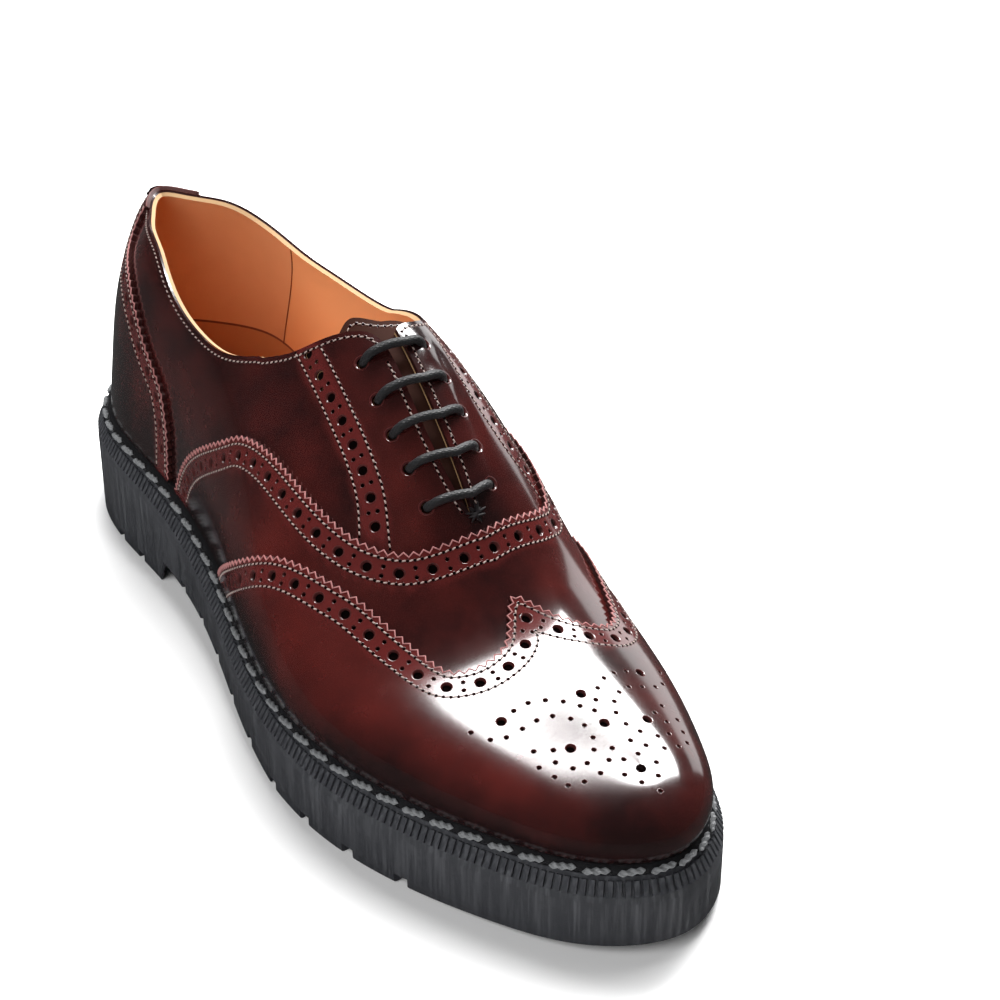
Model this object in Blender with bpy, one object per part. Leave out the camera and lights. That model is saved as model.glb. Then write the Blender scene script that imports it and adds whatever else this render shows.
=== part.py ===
"""Right shoe: a wing-tip brogue Oxford with closed lacing on a ribbed rubber sole.

The shoe stands on its sole with the toe at -Y, the wearer's outer (lateral) side at -X and
+Z up.  Every leather piece is a flat pattern, cut by knives and then lasted: a pattern's X is
the place along the feather line (0 at the back of the heel, 1 at the tip of the toe) and its Y
is the climb from the feather line (0) over the ridge (1) and down the inner side (2).
"""
import bmesh
import bpy
import numpy as np


def table(names, *rows):
    """A short table with named columns, a row for each section."""
    return dict(zip(names.split(), np.array(rows, float).T))


# Driving sizes in metres
LENGTH = 0.306
BALL_WIDTH = 0.1014
INSTEP_HEIGHT = 0.111
HEEL_HEIGHT = 0.0288

# Sole edge: along in lengths, half widths in ball widths
OUTLINE = table(
    "along lateral medial",
    (0.03, 0.203, 0.201),
    (0.10, 0.331, 0.345),
    (0.25, 0.361, 0.337),
    (0.42, 0.419, 0.330),
    (0.58, 0.525, 0.420),
    (0.70, 0.536, 0.472),
    (0.80, 0.460, 0.440),
    (0.90, 0.321, 0.347),
    (0.965, 0.185, 0.237),
)
TOE_SWING = 0.052

# Height of the sole's widest line, in heel heights
SOLE_TOP = table(
    "along height",
    (0.0, 1.0),
    (0.25, 0.958),
    (0.5, 0.70),
    (0.7, 0.65),
    (0.85, 0.639),
    (1.0, 0.68),
)

# Underside: heel breast, arch, flat tread and toe spring
BREAST = 0.262
BREAST_SLANT = 0.010
ARCH_LIFT = 0.0082
ARCH_TOP = 0.34
TREAD_START = 0.63
TREAD_END = 0.74
TOE_SPRING = 0.0036

# Side of the sole, from the ground up: inset from the widest line and height over it
EDGE_ROUND = 0.0007
EDGE_CHAMFER = 0.0
CREASE = table("inset height", (0.0006, -0.0029))
RIBS = table("ridge groove height", (0.0, 0.0008, -0.0026), (0.0011, 0.0019, 0.0030))
TOP_EDGE = table("inset height", (0.0026, 0.0042))
RIB_PITCH = 0.0025
SOLE_STATIONS = 42

# Tread grooves
GROOVE_FIRST = 0.33
GROOVE_LAST = 0.81
GROOVE_COUNT = 9
HEEL_GROOVES = (0.165, 0.215)
GROOVE_WIDTH = 0.0042
GROOVE_DEPTH = 0.0030
CHEVRON = table("across forward", (-1.0, 0.0), (-0.22, 0.0), (0.0, 0.0065), (0.22, 0.0), (1.0, 0.0))
GROOVE_REACH = 0.075

# Feather line, where upper and welt meet: inset from the widest line
FEATHER = table("along inset", (0.0, 0.0050), (0.2, 0.0050), (0.5, 0.0052), (1.0, 0.0056))
FEATHER_RISE = 0.0077

# Welt and insole
WELT = table(
    "inset height",
    (0.0030, 0.0045),
    (0.0028, 0.0054),
    (0.0040, 0.0072),
    (0.0092, 0.0074),
    (0.0092, 0.0045),
)
INSOLE_INSET = 0.0098
INSOLE_FLOOR = 0.0045
INSOLE_TOP = 0.0084

# Ridge of the last: along in lengths, swing in ball widths, height in instep heights
RIDGE = table(
    "along swing height",
    (0.111, 0.000, 1.009),
    (0.294, 0.030, 1.117),
    (0.441, 0.059, 1.090),
    (0.523, 0.075, 1.000),
    (0.588, 0.069, 0.887),
    (0.654, 0.059, 0.730),
    (0.725, 0.055, 0.545),
    (0.817, 0.051, 0.446),
    (0.882, 0.049, 0.405),
    (0.925, 0.047, 0.378),
)

# Sections of the last: bulge beyond the feather in ball widths, the rest as shares of reach and rise
SECTION_NAMES = "place bulge_out bulge_up shoulder_in shoulder_up"
LATERAL_SECTIONS = table(
    SECTION_NAMES,
    (0.00, -0.004, 0.26, 0.37, 0.86),
    (0.05, -0.014, 0.26, 0.46, 0.85),
    (0.10, -0.023, 0.26, 0.50, 0.84),
    (0.16, -0.021, 0.26, 0.41, 0.82),
    (0.25, -0.013, 0.26, 0.31, 0.78),
    (0.40, 0.006, 0.22, 0.40, 0.72),
    (0.52, 0.014, 0.22, 0.44, 0.74),
    (0.62, 0.018, 0.25, 0.45, 0.78),
    (0.72, 0.018, 0.30, 0.44, 0.82),
    (0.82, 0.016, 0.34, 0.42, 0.84),
    (0.92, 0.014, 0.36, 0.40, 0.85),
    (1.00, 0.013, 0.38, 0.40, 0.86),
)
MEDIAL_SECTIONS = table(
    SECTION_NAMES,
    (0.00, -0.004, 0.26, 0.37, 0.86),
    (0.05, -0.014, 0.26, 0.45, 0.85),
    (0.10, -0.022, 0.26, 0.50, 0.84),
    (0.16, -0.019, 0.26, 0.42, 0.82),
    (0.25, -0.012, 0.26, 0.28, 0.78),
    (0.40, 0.000, 0.24, 0.10, 0.77),
    (0.52, 0.022, 0.32, 0.08, 0.80),
    (0.62, 0.032, 0.30, 0.21, 0.80),
    (0.72, 0.012, 0.30, 0.35, 0.81),
    (0.82, 0.004, 0.34, 0.40, 0.83),
    (0.92, 0.006, 0.36, 0.40, 0.85),
    (1.00, 0.013, 0.38, 0.40, 0.86),
)

# Leather layers: lift of the outer face from the last's surface, and thickness
UPPER_LIFT = -0.0013
UPPER_WALL = 0.0022
VAMP_LIFT = 0.0001
WING_LIFT = 0.0015
COUNTER_LIFT = 0.0001
OVERLAY_WALL = 0.0011
TAB_LIFT = 0.0013
TAB_WALL = 0.0009
TONGUE_LIFT = -0.0038
TONGUE_WALL = 0.0015

# Pattern grid
PLACE_CELLS = 32
CLIMB_CELLS = 10

# Topline, as climb on each side, and the throat slit that ends it
TOPLINE = table(
    "place lateral medial",
    (0.000, 0.800, 0.800),
    (0.050, 0.806, 0.810),
    (0.100, 0.797, 0.812),
    (0.145, 0.772, 0.780),
    (0.190, 0.740, 0.708),
    (0.217, 0.710, 0.676),
    (0.273, 0.613, 0.650),
    (0.323, 0.575, 0.654),
    (0.365, 0.587, 0.657),
    (0.386, 0.612, 0.661),
    (0.417, 0.664, 0.684),
    (0.442, 0.728, 0.728),
    (0.474, 0.888, 0.820),
    (0.485, 0.960, 0.905),
)
SLIT_TOP = 0.491
SLIT_END = 0.617
SLIT_HALF = 0.020
SLIT_HALF_END = 0.008

# Seams: the place of each pattern edge at a climb
VAMP_SEAM = table(
    "climb lateral medial",
    (-0.05, 0.290, 0.290),
    (0.00, 0.297, 0.297),
    (0.14, 0.321, 0.319),
    (0.30, 0.370, 0.366),
    (0.42, 0.416, 0.411),
    (0.495, 0.456, 0.456),
    (0.525, 0.493, 0.515),
    (0.545, 0.529, 0.566),
    (0.565, 0.559, 0.600),
    (0.59, 0.584, 0.619),
    (0.64, 0.609, 0.628),
    (0.69, 0.621, 0.631),
    (0.77, 0.629, 0.633),
    (0.87, 0.632, 0.633),
    (1.00, 0.631, 0.631),
)
WING_SEAM = table(
    "climb lateral medial",
    (-0.05, 0.412, 0.440),
    (0.00, 0.423, 0.450),
    (0.21, 0.495, 0.548),
    (0.33, 0.536, 0.630),
    (0.418, 0.569, 0.704),
    (0.468, 0.596, 0.723),
    (0.50, 0.616, 0.727),
    (0.527, 0.635, 0.729),
    (0.544, 0.656, 0.7295),
    (0.560, 0.677, 0.7295),
    (0.577, 0.700, 0.729),
    (0.614, 0.717, 0.7275),
    (0.689, 0.722, 0.7225),
    (0.792, 0.718, 0.711),
    (0.888, 0.704, 0.694),
    (0.96, 0.682, 0.679),
    (1.00, 0.672, 0.672),
)
COUNTER_SEAM = table(
    "climb place",
    (-0.05, 0.286),
    (0.02, 0.285),
    (0.167, 0.286),
    (0.249, 0.281),
    (0.322, 0.270),
    (0.374, 0.252),
    (0.431, 0.234),
    (0.486, 0.219),
    (0.551, 0.195),
    (0.610, 0.163),
    (0.655, 0.126),
    (0.720, 0.095),
    (0.900, 0.080),
)
COUNTER_INSET = 0.004
VAMP_UNDERLAP = 0.030
SEAM_STEPS = 26
PLACE_PER_CLIMB = 3
TAB_PLACE = 0.022
TAB_BELOW = 0.075
TONGUE_TOP = 0.476
TONGUE_END = 0.645
TONGUE_SIDE = 0.72

# Five pairs of eyelets
EYELETS = table(
    "place lateral medial_place medial",
    (0.506, 0.861, 0.514, 0.918),
    (0.534, 0.847, 0.541, 0.902),
    (0.559, 0.840, 0.565, 0.890),
    (0.583, 0.842, 0.588, 0.884),
    (0.608, 0.842, 0.611, 0.877),
)
EYELET_RADIUS = 0.0019
EYELET_SIDES = 8
LACE_RADIUS = 0.0017
LACE_CLEAR = 0.0005
LACE_POINTS = 9

# Colours: base colour, roughness
OXBLOOD = ((0.105, 0.014, 0.014), 0.16)
BLACK_RUBBER = ((0.012, 0.012, 0.013), 0.5)
TAN_LINING = ((0.52, 0.20, 0.07), 0.6)
BLACK_CORD = ((0.010, 0.010, 0.011), 0.6)

LATERAL, MEDIAL = -1, 1


# Curves through rows
def spline(knots, values, start=None, end=None, loop=False):
    """Cubic spline through rows: natural ends, stated end slopes, or a closed loop."""
    knots = np.asarray(knots, float)
    values = np.asarray(values, float)
    count = len(knots)
    step = np.diff(knots)[:, None]
    slope = np.diff(values, axis=0) / step
    matrix = np.eye(count)
    right = np.zeros_like(values)
    for i in range(1, count - 1):
        matrix[i, i - 1:i + 2] = step[i - 1, 0], 2 * (step[i - 1, 0] + step[i, 0]), step[i, 0]
        right[i] = 6 * (slope[i] - slope[i - 1])
    if loop:
        matrix[0, [0, 1, -2]] = 2 * (step[0, 0] + step[-1, 0]), step[0, 0], step[-1, 0]
        right[0] = 6 * (slope[0] - slope[-1])
        matrix[-1, 0] = -1
    if start is not None:
        matrix[0, :2] = 2 * step[0, 0], step[0, 0]
        right[0] = 6 * (slope[0] - start)
    if end is not None:
        matrix[-1, -2:] = step[-1, 0], 2 * step[-1, 0]
        right[-1] = 6 * (end - slope[-1])
    bend = np.linalg.solve(matrix, right)

    def at(where):
        where = np.asarray(where, float)
        x = where.ravel()
        i = np.clip(np.searchsorted(knots, x, side="right") - 1, 0, count - 2)
        h = step[i]
        a = (knots[i + 1] - x)[:, None]
        b = (x - knots[i])[:, None]
        out = (bend[i] * a ** 3 + bend[i + 1] * b ** 3) / (6 * h)
        out += (values[i] / h - bend[i] * h / 6) * a
        out += (values[i + 1] / h - bend[i + 1] * h / 6) * b
        return out.reshape(where.shape + (-1,))

    return at


def column_spline(rows, key, name):
    """Spline of one column of a table against another."""
    curve = spline(rows[key], rows[name][:, None])
    return lambda where: curve(where)[..., 0]


# Sole edge
def sole_edge():
    """Loop of (x, along, normal x, normal along) by place: 0 heel, 1 toe, 2 heel again."""
    lateral = np.c_[-OUTLINE["lateral"] * BALL_WIDTH, OUTLINE["along"] * LENGTH]
    medial = np.c_[OUTLINE["medial"] * BALL_WIDTH, OUTLINE["along"] * LENGTH][::-1]
    points = np.r_[[(0, 0)], lateral, [(TOE_SWING * BALL_WIDTH, LENGTH)], medial, [(0, 0)]]
    run = np.r_[0, np.cumsum(np.hypot(*np.diff(points, axis=0).T))]
    fine = np.linspace(0, run[-1], 1201)
    edge = spline(run, points, loop=True)(fine)
    ahead = np.roll(edge[:-1], -1, axis=0) - np.roll(edge[:-1], 1, axis=0)
    ahead = np.r_[ahead, ahead[:1]]
    ahead /= np.linalg.norm(ahead, axis=1)[:, None]
    normal = np.c_[-ahead[:, 1], ahead[:, 0]]
    tip = int(np.argmax(edge[:, 1]))
    back = 1 + (fine[tip + 1:] - fine[tip]) / (fine[-1] - fine[tip])
    place = np.r_[fine[:tip + 1] / fine[tip], back]
    keep = np.unique(np.r_[np.arange(0, 1201, 8), tip])
    return spline(place[keep], np.c_[edge, normal][keep], loop=True), edge, run[-1]


EDGE, EDGE_POINTS, GIRTH = sole_edge()
MIDDLE_X = (EDGE_POINTS[:, 0].min() + EDGE_POINTS[:, 0].max()) / 2
MIDDLE_ALONG = (EDGE_POINTS[:, 1].min() + EDGE_POINTS[:, 1].max()) / 2
sole_top_height = column_spline(SOLE_TOP, "along", "height")


def edge_at(place):
    """Edge point, outward normal and share of the length at a place on the loop."""
    row = EDGE(np.mod(place, 2))
    normal = row[..., 2:] / np.linalg.norm(row[..., 2:], axis=-1, keepdims=True)
    return row[..., :2], normal, row[..., 1] / LENGTH


def widest_height(along):
    """Height of the sole's widest line."""
    return sole_top_height(np.clip(along, 0, 1)) * HEEL_HEIGHT


def ground(along):
    """Height of the underside: flat heel, breast, arch, flat tread, toe spring."""
    arch = ARCH_LIFT * np.cos(np.pi / 2 * np.clip((along - ARCH_TOP) / (TREAD_START - ARCH_TOP), 0, 1))
    breast = np.clip((along - BREAST) / BREAST_SLANT, 0, 1)
    spring = TOE_SPRING * np.clip((along - TREAD_END) / (1 - TREAD_END), 0, None) ** 2
    return arch * breast + spring


def to_world(points):
    """From (x, along, z) to the shoe's frame: toe at -Y, centred over its box."""
    points = np.asarray(points, float)
    return np.stack(
        [points[..., 0] - MIDDLE_X, MIDDLE_ALONG - points[..., 1], points[..., 2]], axis=-1)


# Surface of the last
def section_columns(rows):
    """Spline of all section columns, level at heel and toe so both sides meet smoothly."""
    names = SECTION_NAMES.split()[1:]
    return spline(rows["place"], np.stack([rows[n] for n in names], axis=1), start=0, end=0)


SECTIONS = {LATERAL: section_columns(LATERAL_SECTIONS), MEDIAL: section_columns(MEDIAL_SECTIONS)}
RIDGE_LINE = spline(
    RIDGE["along"] * LENGTH,
    np.c_[RIDGE["swing"] * BALL_WIDTH, RIDGE["along"] * LENGTH, RIDGE["height"] * INSTEP_HEIGHT])
RIDGE_BACK = RIDGE["along"][0] * LENGTH
RIDGE_FRONT = RIDGE["along"][-1] * LENGTH


def folded(side, place, climb):
    """Carry a place past the heel, toe or ridge over to the other side."""
    for past, new_place, new_climb in (
            (place < 0, -place, climb), (place > 1, 2 - place, climb), (climb > 1, place, 2 - climb)):
        side = np.where(past, -side, side)
        place = np.where(past, new_place, place)
        climb = np.where(past, new_climb, climb)
    return side, np.clip(place, 0, 1), climb


def ridge_at(place):
    """Ridge points and the ridge's pitch, crowded towards heel and toe."""
    along = RIDGE_BACK + (RIDGE_FRONT - RIDGE_BACK) * (1 - np.cos(np.pi * place)) / 2
    tiny = LENGTH * 1e-4
    pitch = (RIDGE_LINE(along + tiny) - RIDGE_LINE(along - tiny))[..., 2] / (2 * tiny)
    return RIDGE_LINE(along), pitch


def section_points(side, place):
    """Feather, bulge, shoulder and ridge points of the sections, and the way over the ridge."""
    edge, normal, along = edge_at(np.where(side < 0, place, 2 - place))
    inset = np.interp(along, FEATHER["along"], FEATHER["inset"])
    foot = np.c_[edge - normal * inset[:, None], widest_height(along) + FEATHER_RISE]
    crest, pitch = ridge_at(place)
    column = np.where(side[:, None] < 0, SECTIONS[LATERAL](place), SECTIONS[MEDIAL](place))
    reach = crest[:, :2] - foot[:, :2]
    rise = crest[:, 2] - foot[:, 2]
    bulge_xy = foot[:, :2] + normal * column[:, :1] * BALL_WIDTH
    bulge = np.c_[bulge_xy, foot[:, 2] + rise * column[:, 1]]
    shoulder = np.c_[foot[:, :2] + reach * column[:, 2:3], foot[:, 2] + rise * column[:, 3]]
    over = np.c_[reach, pitch * reach[:, 1]]
    over /= np.linalg.norm(over, axis=1, keepdims=True)
    return np.stack([foot, bulge, shoulder, crest], axis=1), over


def last_surface(side, place, climb):
    """Points of the last: a cubic through each section, level across the ridge."""
    side, place, climb = np.broadcast_arrays(
        np.asarray(side, float), np.asarray(place, float), np.asarray(climb, float))
    shape = place.shape
    side, place, climb = folded(side.ravel(), place.ravel(), climb.ravel())
    points, over = section_points(side, place)
    chord = np.linalg.norm(np.diff(points, axis=1), axis=2)
    total = chord.sum(axis=1, keepdims=True)
    h = chord / total
    knot = np.c_[np.zeros(len(place)), np.cumsum(h, axis=1)]
    slope = np.diff(points, axis=1) / h[:, :, None]
    matrix = np.zeros((len(place), 3, 3))
    right = np.zeros((len(place), 3, 3))
    matrix[:, 0, 0] = 2 * (h[:, 0] + h[:, 1])
    matrix[:, 0, 1] = matrix[:, 1, 0] = h[:, 1]
    matrix[:, 1, 1] = 2 * (h[:, 1] + h[:, 2])
    matrix[:, 1, 2] = matrix[:, 2, 1] = h[:, 2]
    matrix[:, 2, 2] = 2 * h[:, 2]
    right[:, 0] = 6 * (slope[:, 1] - slope[:, 0])
    right[:, 1] = 6 * (slope[:, 2] - slope[:, 1])
    right[:, 2] = 6 * (over * total - slope[:, 2])
    bend = np.concatenate([np.zeros((len(place), 1, 3)), np.linalg.solve(matrix, right)], axis=1)
    n = np.arange(len(place))
    i = (climb[:, None] >= knot[:, 1:3]).sum(axis=1)
    width = h[n, i][:, None]
    a = (knot[n, i + 1] - climb)[:, None]
    b = (climb - knot[n, i])[:, None]
    out = (bend[n, i] * a ** 3 + bend[n, i + 1] * b ** 3) / (6 * width)
    out += (points[n, i] / width - bend[n, i] * width / 6) * a
    out += (points[n, i + 1] / width - bend[n, i + 1] * width / 6) * b
    return out.reshape(shape + (3,))


def last_normal(side, place, climb):
    """Outward unit normal of the last; level at the feather line, square to the ridge on it."""
    du, dv = 0.004, 0.01
    du_vector = last_surface(side, place + du, climb) - last_surface(side, place - du, climb)
    low = np.maximum(climb - dv, 0)
    dv_vector = last_surface(side, place, climb + dv) - last_surface(side, place, low)
    normal = np.cross(du_vector, dv_vector) * np.asarray(side, float)[..., None]
    normal[..., 2] = np.where(climb <= 0, 0, normal[..., 2])
    pitch = ridge_at(place)[1]
    on_ridge = np.stack([0 * pitch, -pitch, 1 + 0 * pitch], axis=-1)
    normal = np.where((climb >= 1)[..., None], on_ridge, normal)
    return normal / np.linalg.norm(normal, axis=-1, keepdims=True)


# Scene helpers
def clear_scene():
    for obj in list(bpy.data.objects):
        bpy.data.objects.remove(obj, do_unlink=True)


def collection(name):
    group = bpy.data.collections.new(name)
    bpy.context.scene.collection.children.link(group)
    return group


def material(name, look):
    colour, roughness = look
    mat = bpy.data.materials.new(name)
    mat.use_nodes = True
    shader = mat.node_tree.nodes["Principled BSDF"]
    shader.inputs["Base Color"].default_value = (*colour, 1)
    shader.inputs["Roughness"].default_value = roughness
    shader.inputs["Metallic"].default_value = 0
    mat.diffuse_color = (*colour, 1)
    return mat


def add_object(name, bm, mat, group):
    """Put a finished bmesh in the scene as a named, outward-facing, smooth object."""
    bmesh.ops.recalc_face_normals(bm, faces=bm.faces[:])
    mesh = bpy.data.meshes.new(name)
    bm.to_mesh(mesh)
    bm.free()
    mesh.shade_smooth()
    mesh.set_sharp_from_angle(angle=np.radians(35))
    if mat:
        mesh.materials.append(mat)
    obj = bpy.data.objects.new(name, mesh)
    group.objects.link(obj)
    return obj


def as_cutter(obj):
    obj.hide_render = True
    obj.display_type = "WIRE"
    return obj


def cut(obj, cutter, operation="DIFFERENCE"):
    step = obj.modifiers.new(cutter.name, "BOOLEAN")
    step.operation = operation
    step.object = cutter


# Rings and lofts
def add_ring(bm, places, inset, height):
    """Ring of vertices round the sole at an inset (number or one per place) and a height."""
    edge, normal, along = edge_at(places)
    flat = edge - normal * np.broadcast_to(inset, places.shape)[:, None]
    points = to_world(np.c_[flat, height(along)])
    return [bm.verts.new(p) for p in points]


def join_rings(bm, low, low_places, high, high_places):
    """Band of triangles between two closed rings, which may differ in their vertex counts."""
    i = j = 0
    low_next = np.r_[low_places[1:], 2.0]
    high_next = np.r_[high_places[1:], 2.0]
    while i < len(low) or j < len(high):
        a, b = low[i % len(low)], high[j % len(high)]
        take_low = j == len(high) or (i < len(low) and low_next[i] <= high_next[j])
        if take_low:
            bm.faces.new((a, low[(i + 1) % len(low)], b))
            i += 1
        else:
            bm.faces.new((a, high[(j + 1) % len(high)], b))
            j += 1


def close_ring(bm, ring):
    """Cap of cross strips between the two sides of a ring with heel and toe at its ends."""
    half = len(ring) // 2
    lateral = ring[:half + 1]
    medial = [ring[0]] + ring[:half - 1:-1]
    for a, b, c, d in zip(lateral, lateral[1:], medial[1:], medial):
        bm.faces.new(dict.fromkeys((a, b, c, d)))


def paired_places(count, extra=()):
    """Places round the sole whose two sides lie at the same shares of the length."""
    lateral = np.linspace(0, 1, count + 1)
    fine = np.linspace(0, 1, 2001)
    fine_along = {LATERAL: edge_at(fine)[2], MEDIAL: edge_at(2 - fine)[2]}
    added = np.interp(extra, fine_along[LATERAL], fine)
    near = np.abs(lateral[:, None] - added[None]).min(axis=1) if len(added) else np.ones(count + 1)
    lateral = np.sort(np.r_[lateral[(near > 0.004) | (lateral == 0) | (lateral == 1)], added])
    medial = np.interp(edge_at(lateral)[2], fine_along[MEDIAL], fine)
    return np.r_[lateral, (2 - medial[1:-1])[::-1]]


# Outsole
def build_outsole(mat, group, cutters):
    bm = bmesh.new()
    places = paired_places(
        SOLE_STATIONS, (BREAST, BREAST + BREAST_SLANT, ARCH_TOP, TREAD_START, TREAD_END))
    bottom = add_ring(bm, places, EDGE_ROUND, ground)
    chamfer = add_ring(bm, places, EDGE_CHAMFER, lambda a: ground(a) + EDGE_ROUND)
    crease = add_ring(
        bm, places, CREASE["inset"][0], lambda a: widest_height(a) + CREASE["height"][0])
    count = 2 * int(round(GIRTH / RIB_PITCH / 2)) * 2
    rib_places = np.arange(count) * 2 / count
    is_ridge = np.arange(count) % 2 == 0
    rib_rings = []
    for ridge, groove, height in zip(*(RIBS[n] for n in ("ridge", "groove", "height"))):
        inset = np.where(is_ridge, ridge, groove)
        rib_rings.append(add_ring(bm, rib_places, inset, lambda a, h=height: widest_height(a) + h))
    top = add_ring(
        bm, places, TOP_EDGE["inset"][0], lambda a: widest_height(a) + TOP_EDGE["height"][0])
    close_ring(bm, bottom)
    join_rings(bm, bottom, places, chamfer, places)
    join_rings(bm, chamfer, places, crease, places)
    join_rings(bm, crease, places, rib_rings[0], rib_places)
    join_rings(bm, rib_rings[0], rib_places, rib_rings[1], rib_places)
    join_rings(bm, rib_rings[1], rib_places, top, places)
    close_ring(bm, top)
    outsole = add_object("outsole", bm, mat, group)
    cut(outsole, build_grooves(cutters))
    return outsole


def build_grooves(cutters):
    """Chevron grooves right across the tread, and straight ones at the front of the heel."""
    bm = bmesh.new()
    runs = [(a, 1.0) for a in np.linspace(GROOVE_FIRST, GROOVE_LAST, GROOVE_COUNT)]
    runs += [(a, 0.0) for a in HEEL_GROOVES]
    for along, chevron in runs:
        columns = []
        for across, forward in zip(CHEVRON["across"], CHEVRON["forward"]):
            y = along * LENGTH + forward * chevron
            roof = ground(y / LENGTH) + GROOVE_DEPTH
            floor = -GROOVE_DEPTH
            for_column = []
            for shift in (-GROOVE_WIDTH / 2, GROOVE_WIDTH / 2):
                for z in (floor, roof):
                    point = to_world((across * GROOVE_REACH, y + shift, z))
                    for_column.append(bm.verts.new(point))
            low_a, high_a, low_b, high_b = for_column
            columns.append((low_a, high_a, high_b, low_b))
        for one, two in zip(columns, columns[1:]):
            for k in range(4):
                bm.faces.new((one[k], one[(k + 1) % 4], two[(k + 1) % 4], two[k]))
        bm.faces.new(columns[0])
        bm.faces.new(columns[-1])
    return as_cutter(add_object("tread_grooves", bm, None, cutters))


# Welt and insole
def build_welt(mat, group):
    bm = bmesh.new()
    places = paired_places(SOLE_STATIONS)
    rings = []
    for inset, height in zip(WELT["inset"], WELT["height"]):
        rings.append(add_ring(bm, places, inset, lambda a, h=height: widest_height(a) + h))
    for low, high in zip(rings, rings[1:] + rings[:1]):
        join_rings(bm, low, places, high, places)
    return add_object("welt", bm, mat, group)


def build_insole(mat, group):
    bm = bmesh.new()
    places = paired_places(SOLE_STATIONS)
    floor = add_ring(bm, places, INSOLE_INSET, lambda a: widest_height(a) + INSOLE_FLOOR)
    top = add_ring(bm, places, INSOLE_INSET, lambda a: widest_height(a) + INSOLE_TOP)
    close_ring(bm, floor)
    join_rings(bm, floor, places, top, places)
    close_ring(bm, top)
    return add_object("insole", bm, mat, group)


# Leather patterns
def pattern_nodes():
    """Lasted position and normal of every node of the pattern grid."""
    place = np.linspace(0, 1, PLACE_CELLS + 1)[:, None]
    climb = np.linspace(0, 2, 2 * CLIMB_CELLS + 1)[None, :]
    side = np.where(climb <= 1, LATERAL, MEDIAL) + 0 * place
    place = place + 0 * climb
    climb = np.where(climb <= 1, climb, 2 - climb) + 0 * place
    return last_surface(side, place, climb), last_normal(side, place, climb)


NODE_POINT, NODE_NORMAL = pattern_nodes()


def lasted(x, y, lift):
    """Wrap pattern points onto the last, flat within each triangle of the grid."""
    gx = np.clip(x, 0, 1) * PLACE_CELLS
    gy = np.clip(y, 0, 2) * CLIMB_CELLS
    i = np.minimum(gx.astype(int), PLACE_CELLS - 1)
    j = np.minimum(gy.astype(int), 2 * CLIMB_CELLS - 1)
    fx, fy = (gx - i)[:, None], (gy - j)[:, None]
    node = NODE_POINT + NODE_NORMAL * lift
    corner, far = node[i, j], node[i + 1, j + 1]
    under = corner + fx * (node[i + 1, j] - corner) + fy * (far - node[i + 1, j])
    above = corner + fy * (node[i, j + 1] - corner) + fx * (far - node[i, j + 1])
    return to_world(np.where(fx >= fy, under, above))


def flat_blank(cutters):
    """Flat pattern blank of the whole upper, one unit thick, in triangles."""
    bm = bmesh.new()
    shape = (PLACE_CELLS + 1, 2 * CLIMB_CELLS + 1)
    layers = []
    for z in (0, 1):
        layers.append([[bm.verts.new((i / PLACE_CELLS, j / CLIMB_CELLS, z)) for j in range(shape[1])]
                       for i in range(shape[0])])
    for layer in layers:
        for i in range(PLACE_CELLS):
            for j in range(2 * CLIMB_CELLS):
                a, b = layer[i][j], layer[i + 1][j]
                c, d = layer[i + 1][j + 1], layer[i][j + 1]
                bm.faces.new((a, b, c))
                bm.faces.new((a, c, d))
    inner, outer = layers
    rim = [(i, 0) for i in range(shape[0])]
    rim += [(PLACE_CELLS, j) for j in range(1, shape[1])]
    rim += [(i, 2 * CLIMB_CELLS) for i in range(PLACE_CELLS - 1, -1, -1)]
    rim += [(0, j) for j in range(2 * CLIMB_CELLS - 1, 0, -1)]
    for (i, j), (k, m) in zip(rim, rim[1:] + rim[:1]):
        bm.faces.new((inner[i][j], inner[k][m], outer[k][m], outer[i][j]))
    return add_object("pattern_blank", bm, None, cutters)


def knife(name, outline, cutters):
    """Prism that cuts an outline out of the blank."""
    bm = bmesh.new()
    low = [bm.verts.new((x, y, -1)) for x, y in outline]
    high = [bm.verts.new((x, y, 2)) for x, y in outline]
    bm.faces.new(low)
    bm.faces.new(high)
    for a, b, c, d in zip(low, low[1:] + low[:1], high[1:] + high[:1], high):
        bm.faces.new((a, b, c, d))
    return as_cutter(add_object(name, bm, None, cutters))


def leather(name, lift, wall, mat, group, cutters, keep=(), remove=()):
    """Cut a blank with its knives, last it at a lift, and close it round heel and toe."""
    blank = flat_blank(cutters)
    for tool in keep:
        cut(blank, tool, "INTERSECT")
    for tool in remove:
        cut(blank, tool, "DIFFERENCE")
    mesh = bpy.data.meshes.new_from_object(
        blank.evaluated_get(bpy.context.evaluated_depsgraph_get()))
    bpy.data.objects.remove(blank, do_unlink=True)
    bm = bmesh.new()
    bm.from_mesh(mesh)
    bpy.data.meshes.remove(mesh)
    tiny = 1e-5
    folds = [f for f in bm.faces if any(
        all(abs(v.co.x - end) < tiny for v in f.verts) for end in (0, 1))]
    bmesh.ops.delete(bm, geom=folds, context="FACES")
    bmesh.ops.triangulate(bm, faces=bm.faces[:])
    flat = np.array([v.co for v in bm.verts])
    outer = flat[:, 2] > 0.5
    place = np.where(outer[:, None], lasted(flat[:, 0], flat[:, 1], lift),
                     lasted(flat[:, 0], flat[:, 1], lift - wall))
    for vertex, point in zip(bm.verts, place):
        vertex.co = point
    bmesh.ops.remove_doubles(bm, verts=bm.verts[:], dist=0.00002)
    bmesh.ops.dissolve_degenerate(bm, dist=0.00002, edges=bm.edges[:])
    bmesh.ops.triangulate(bm, faces=bm.faces[:])
    return add_object(name, bm, mat, group)


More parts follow.
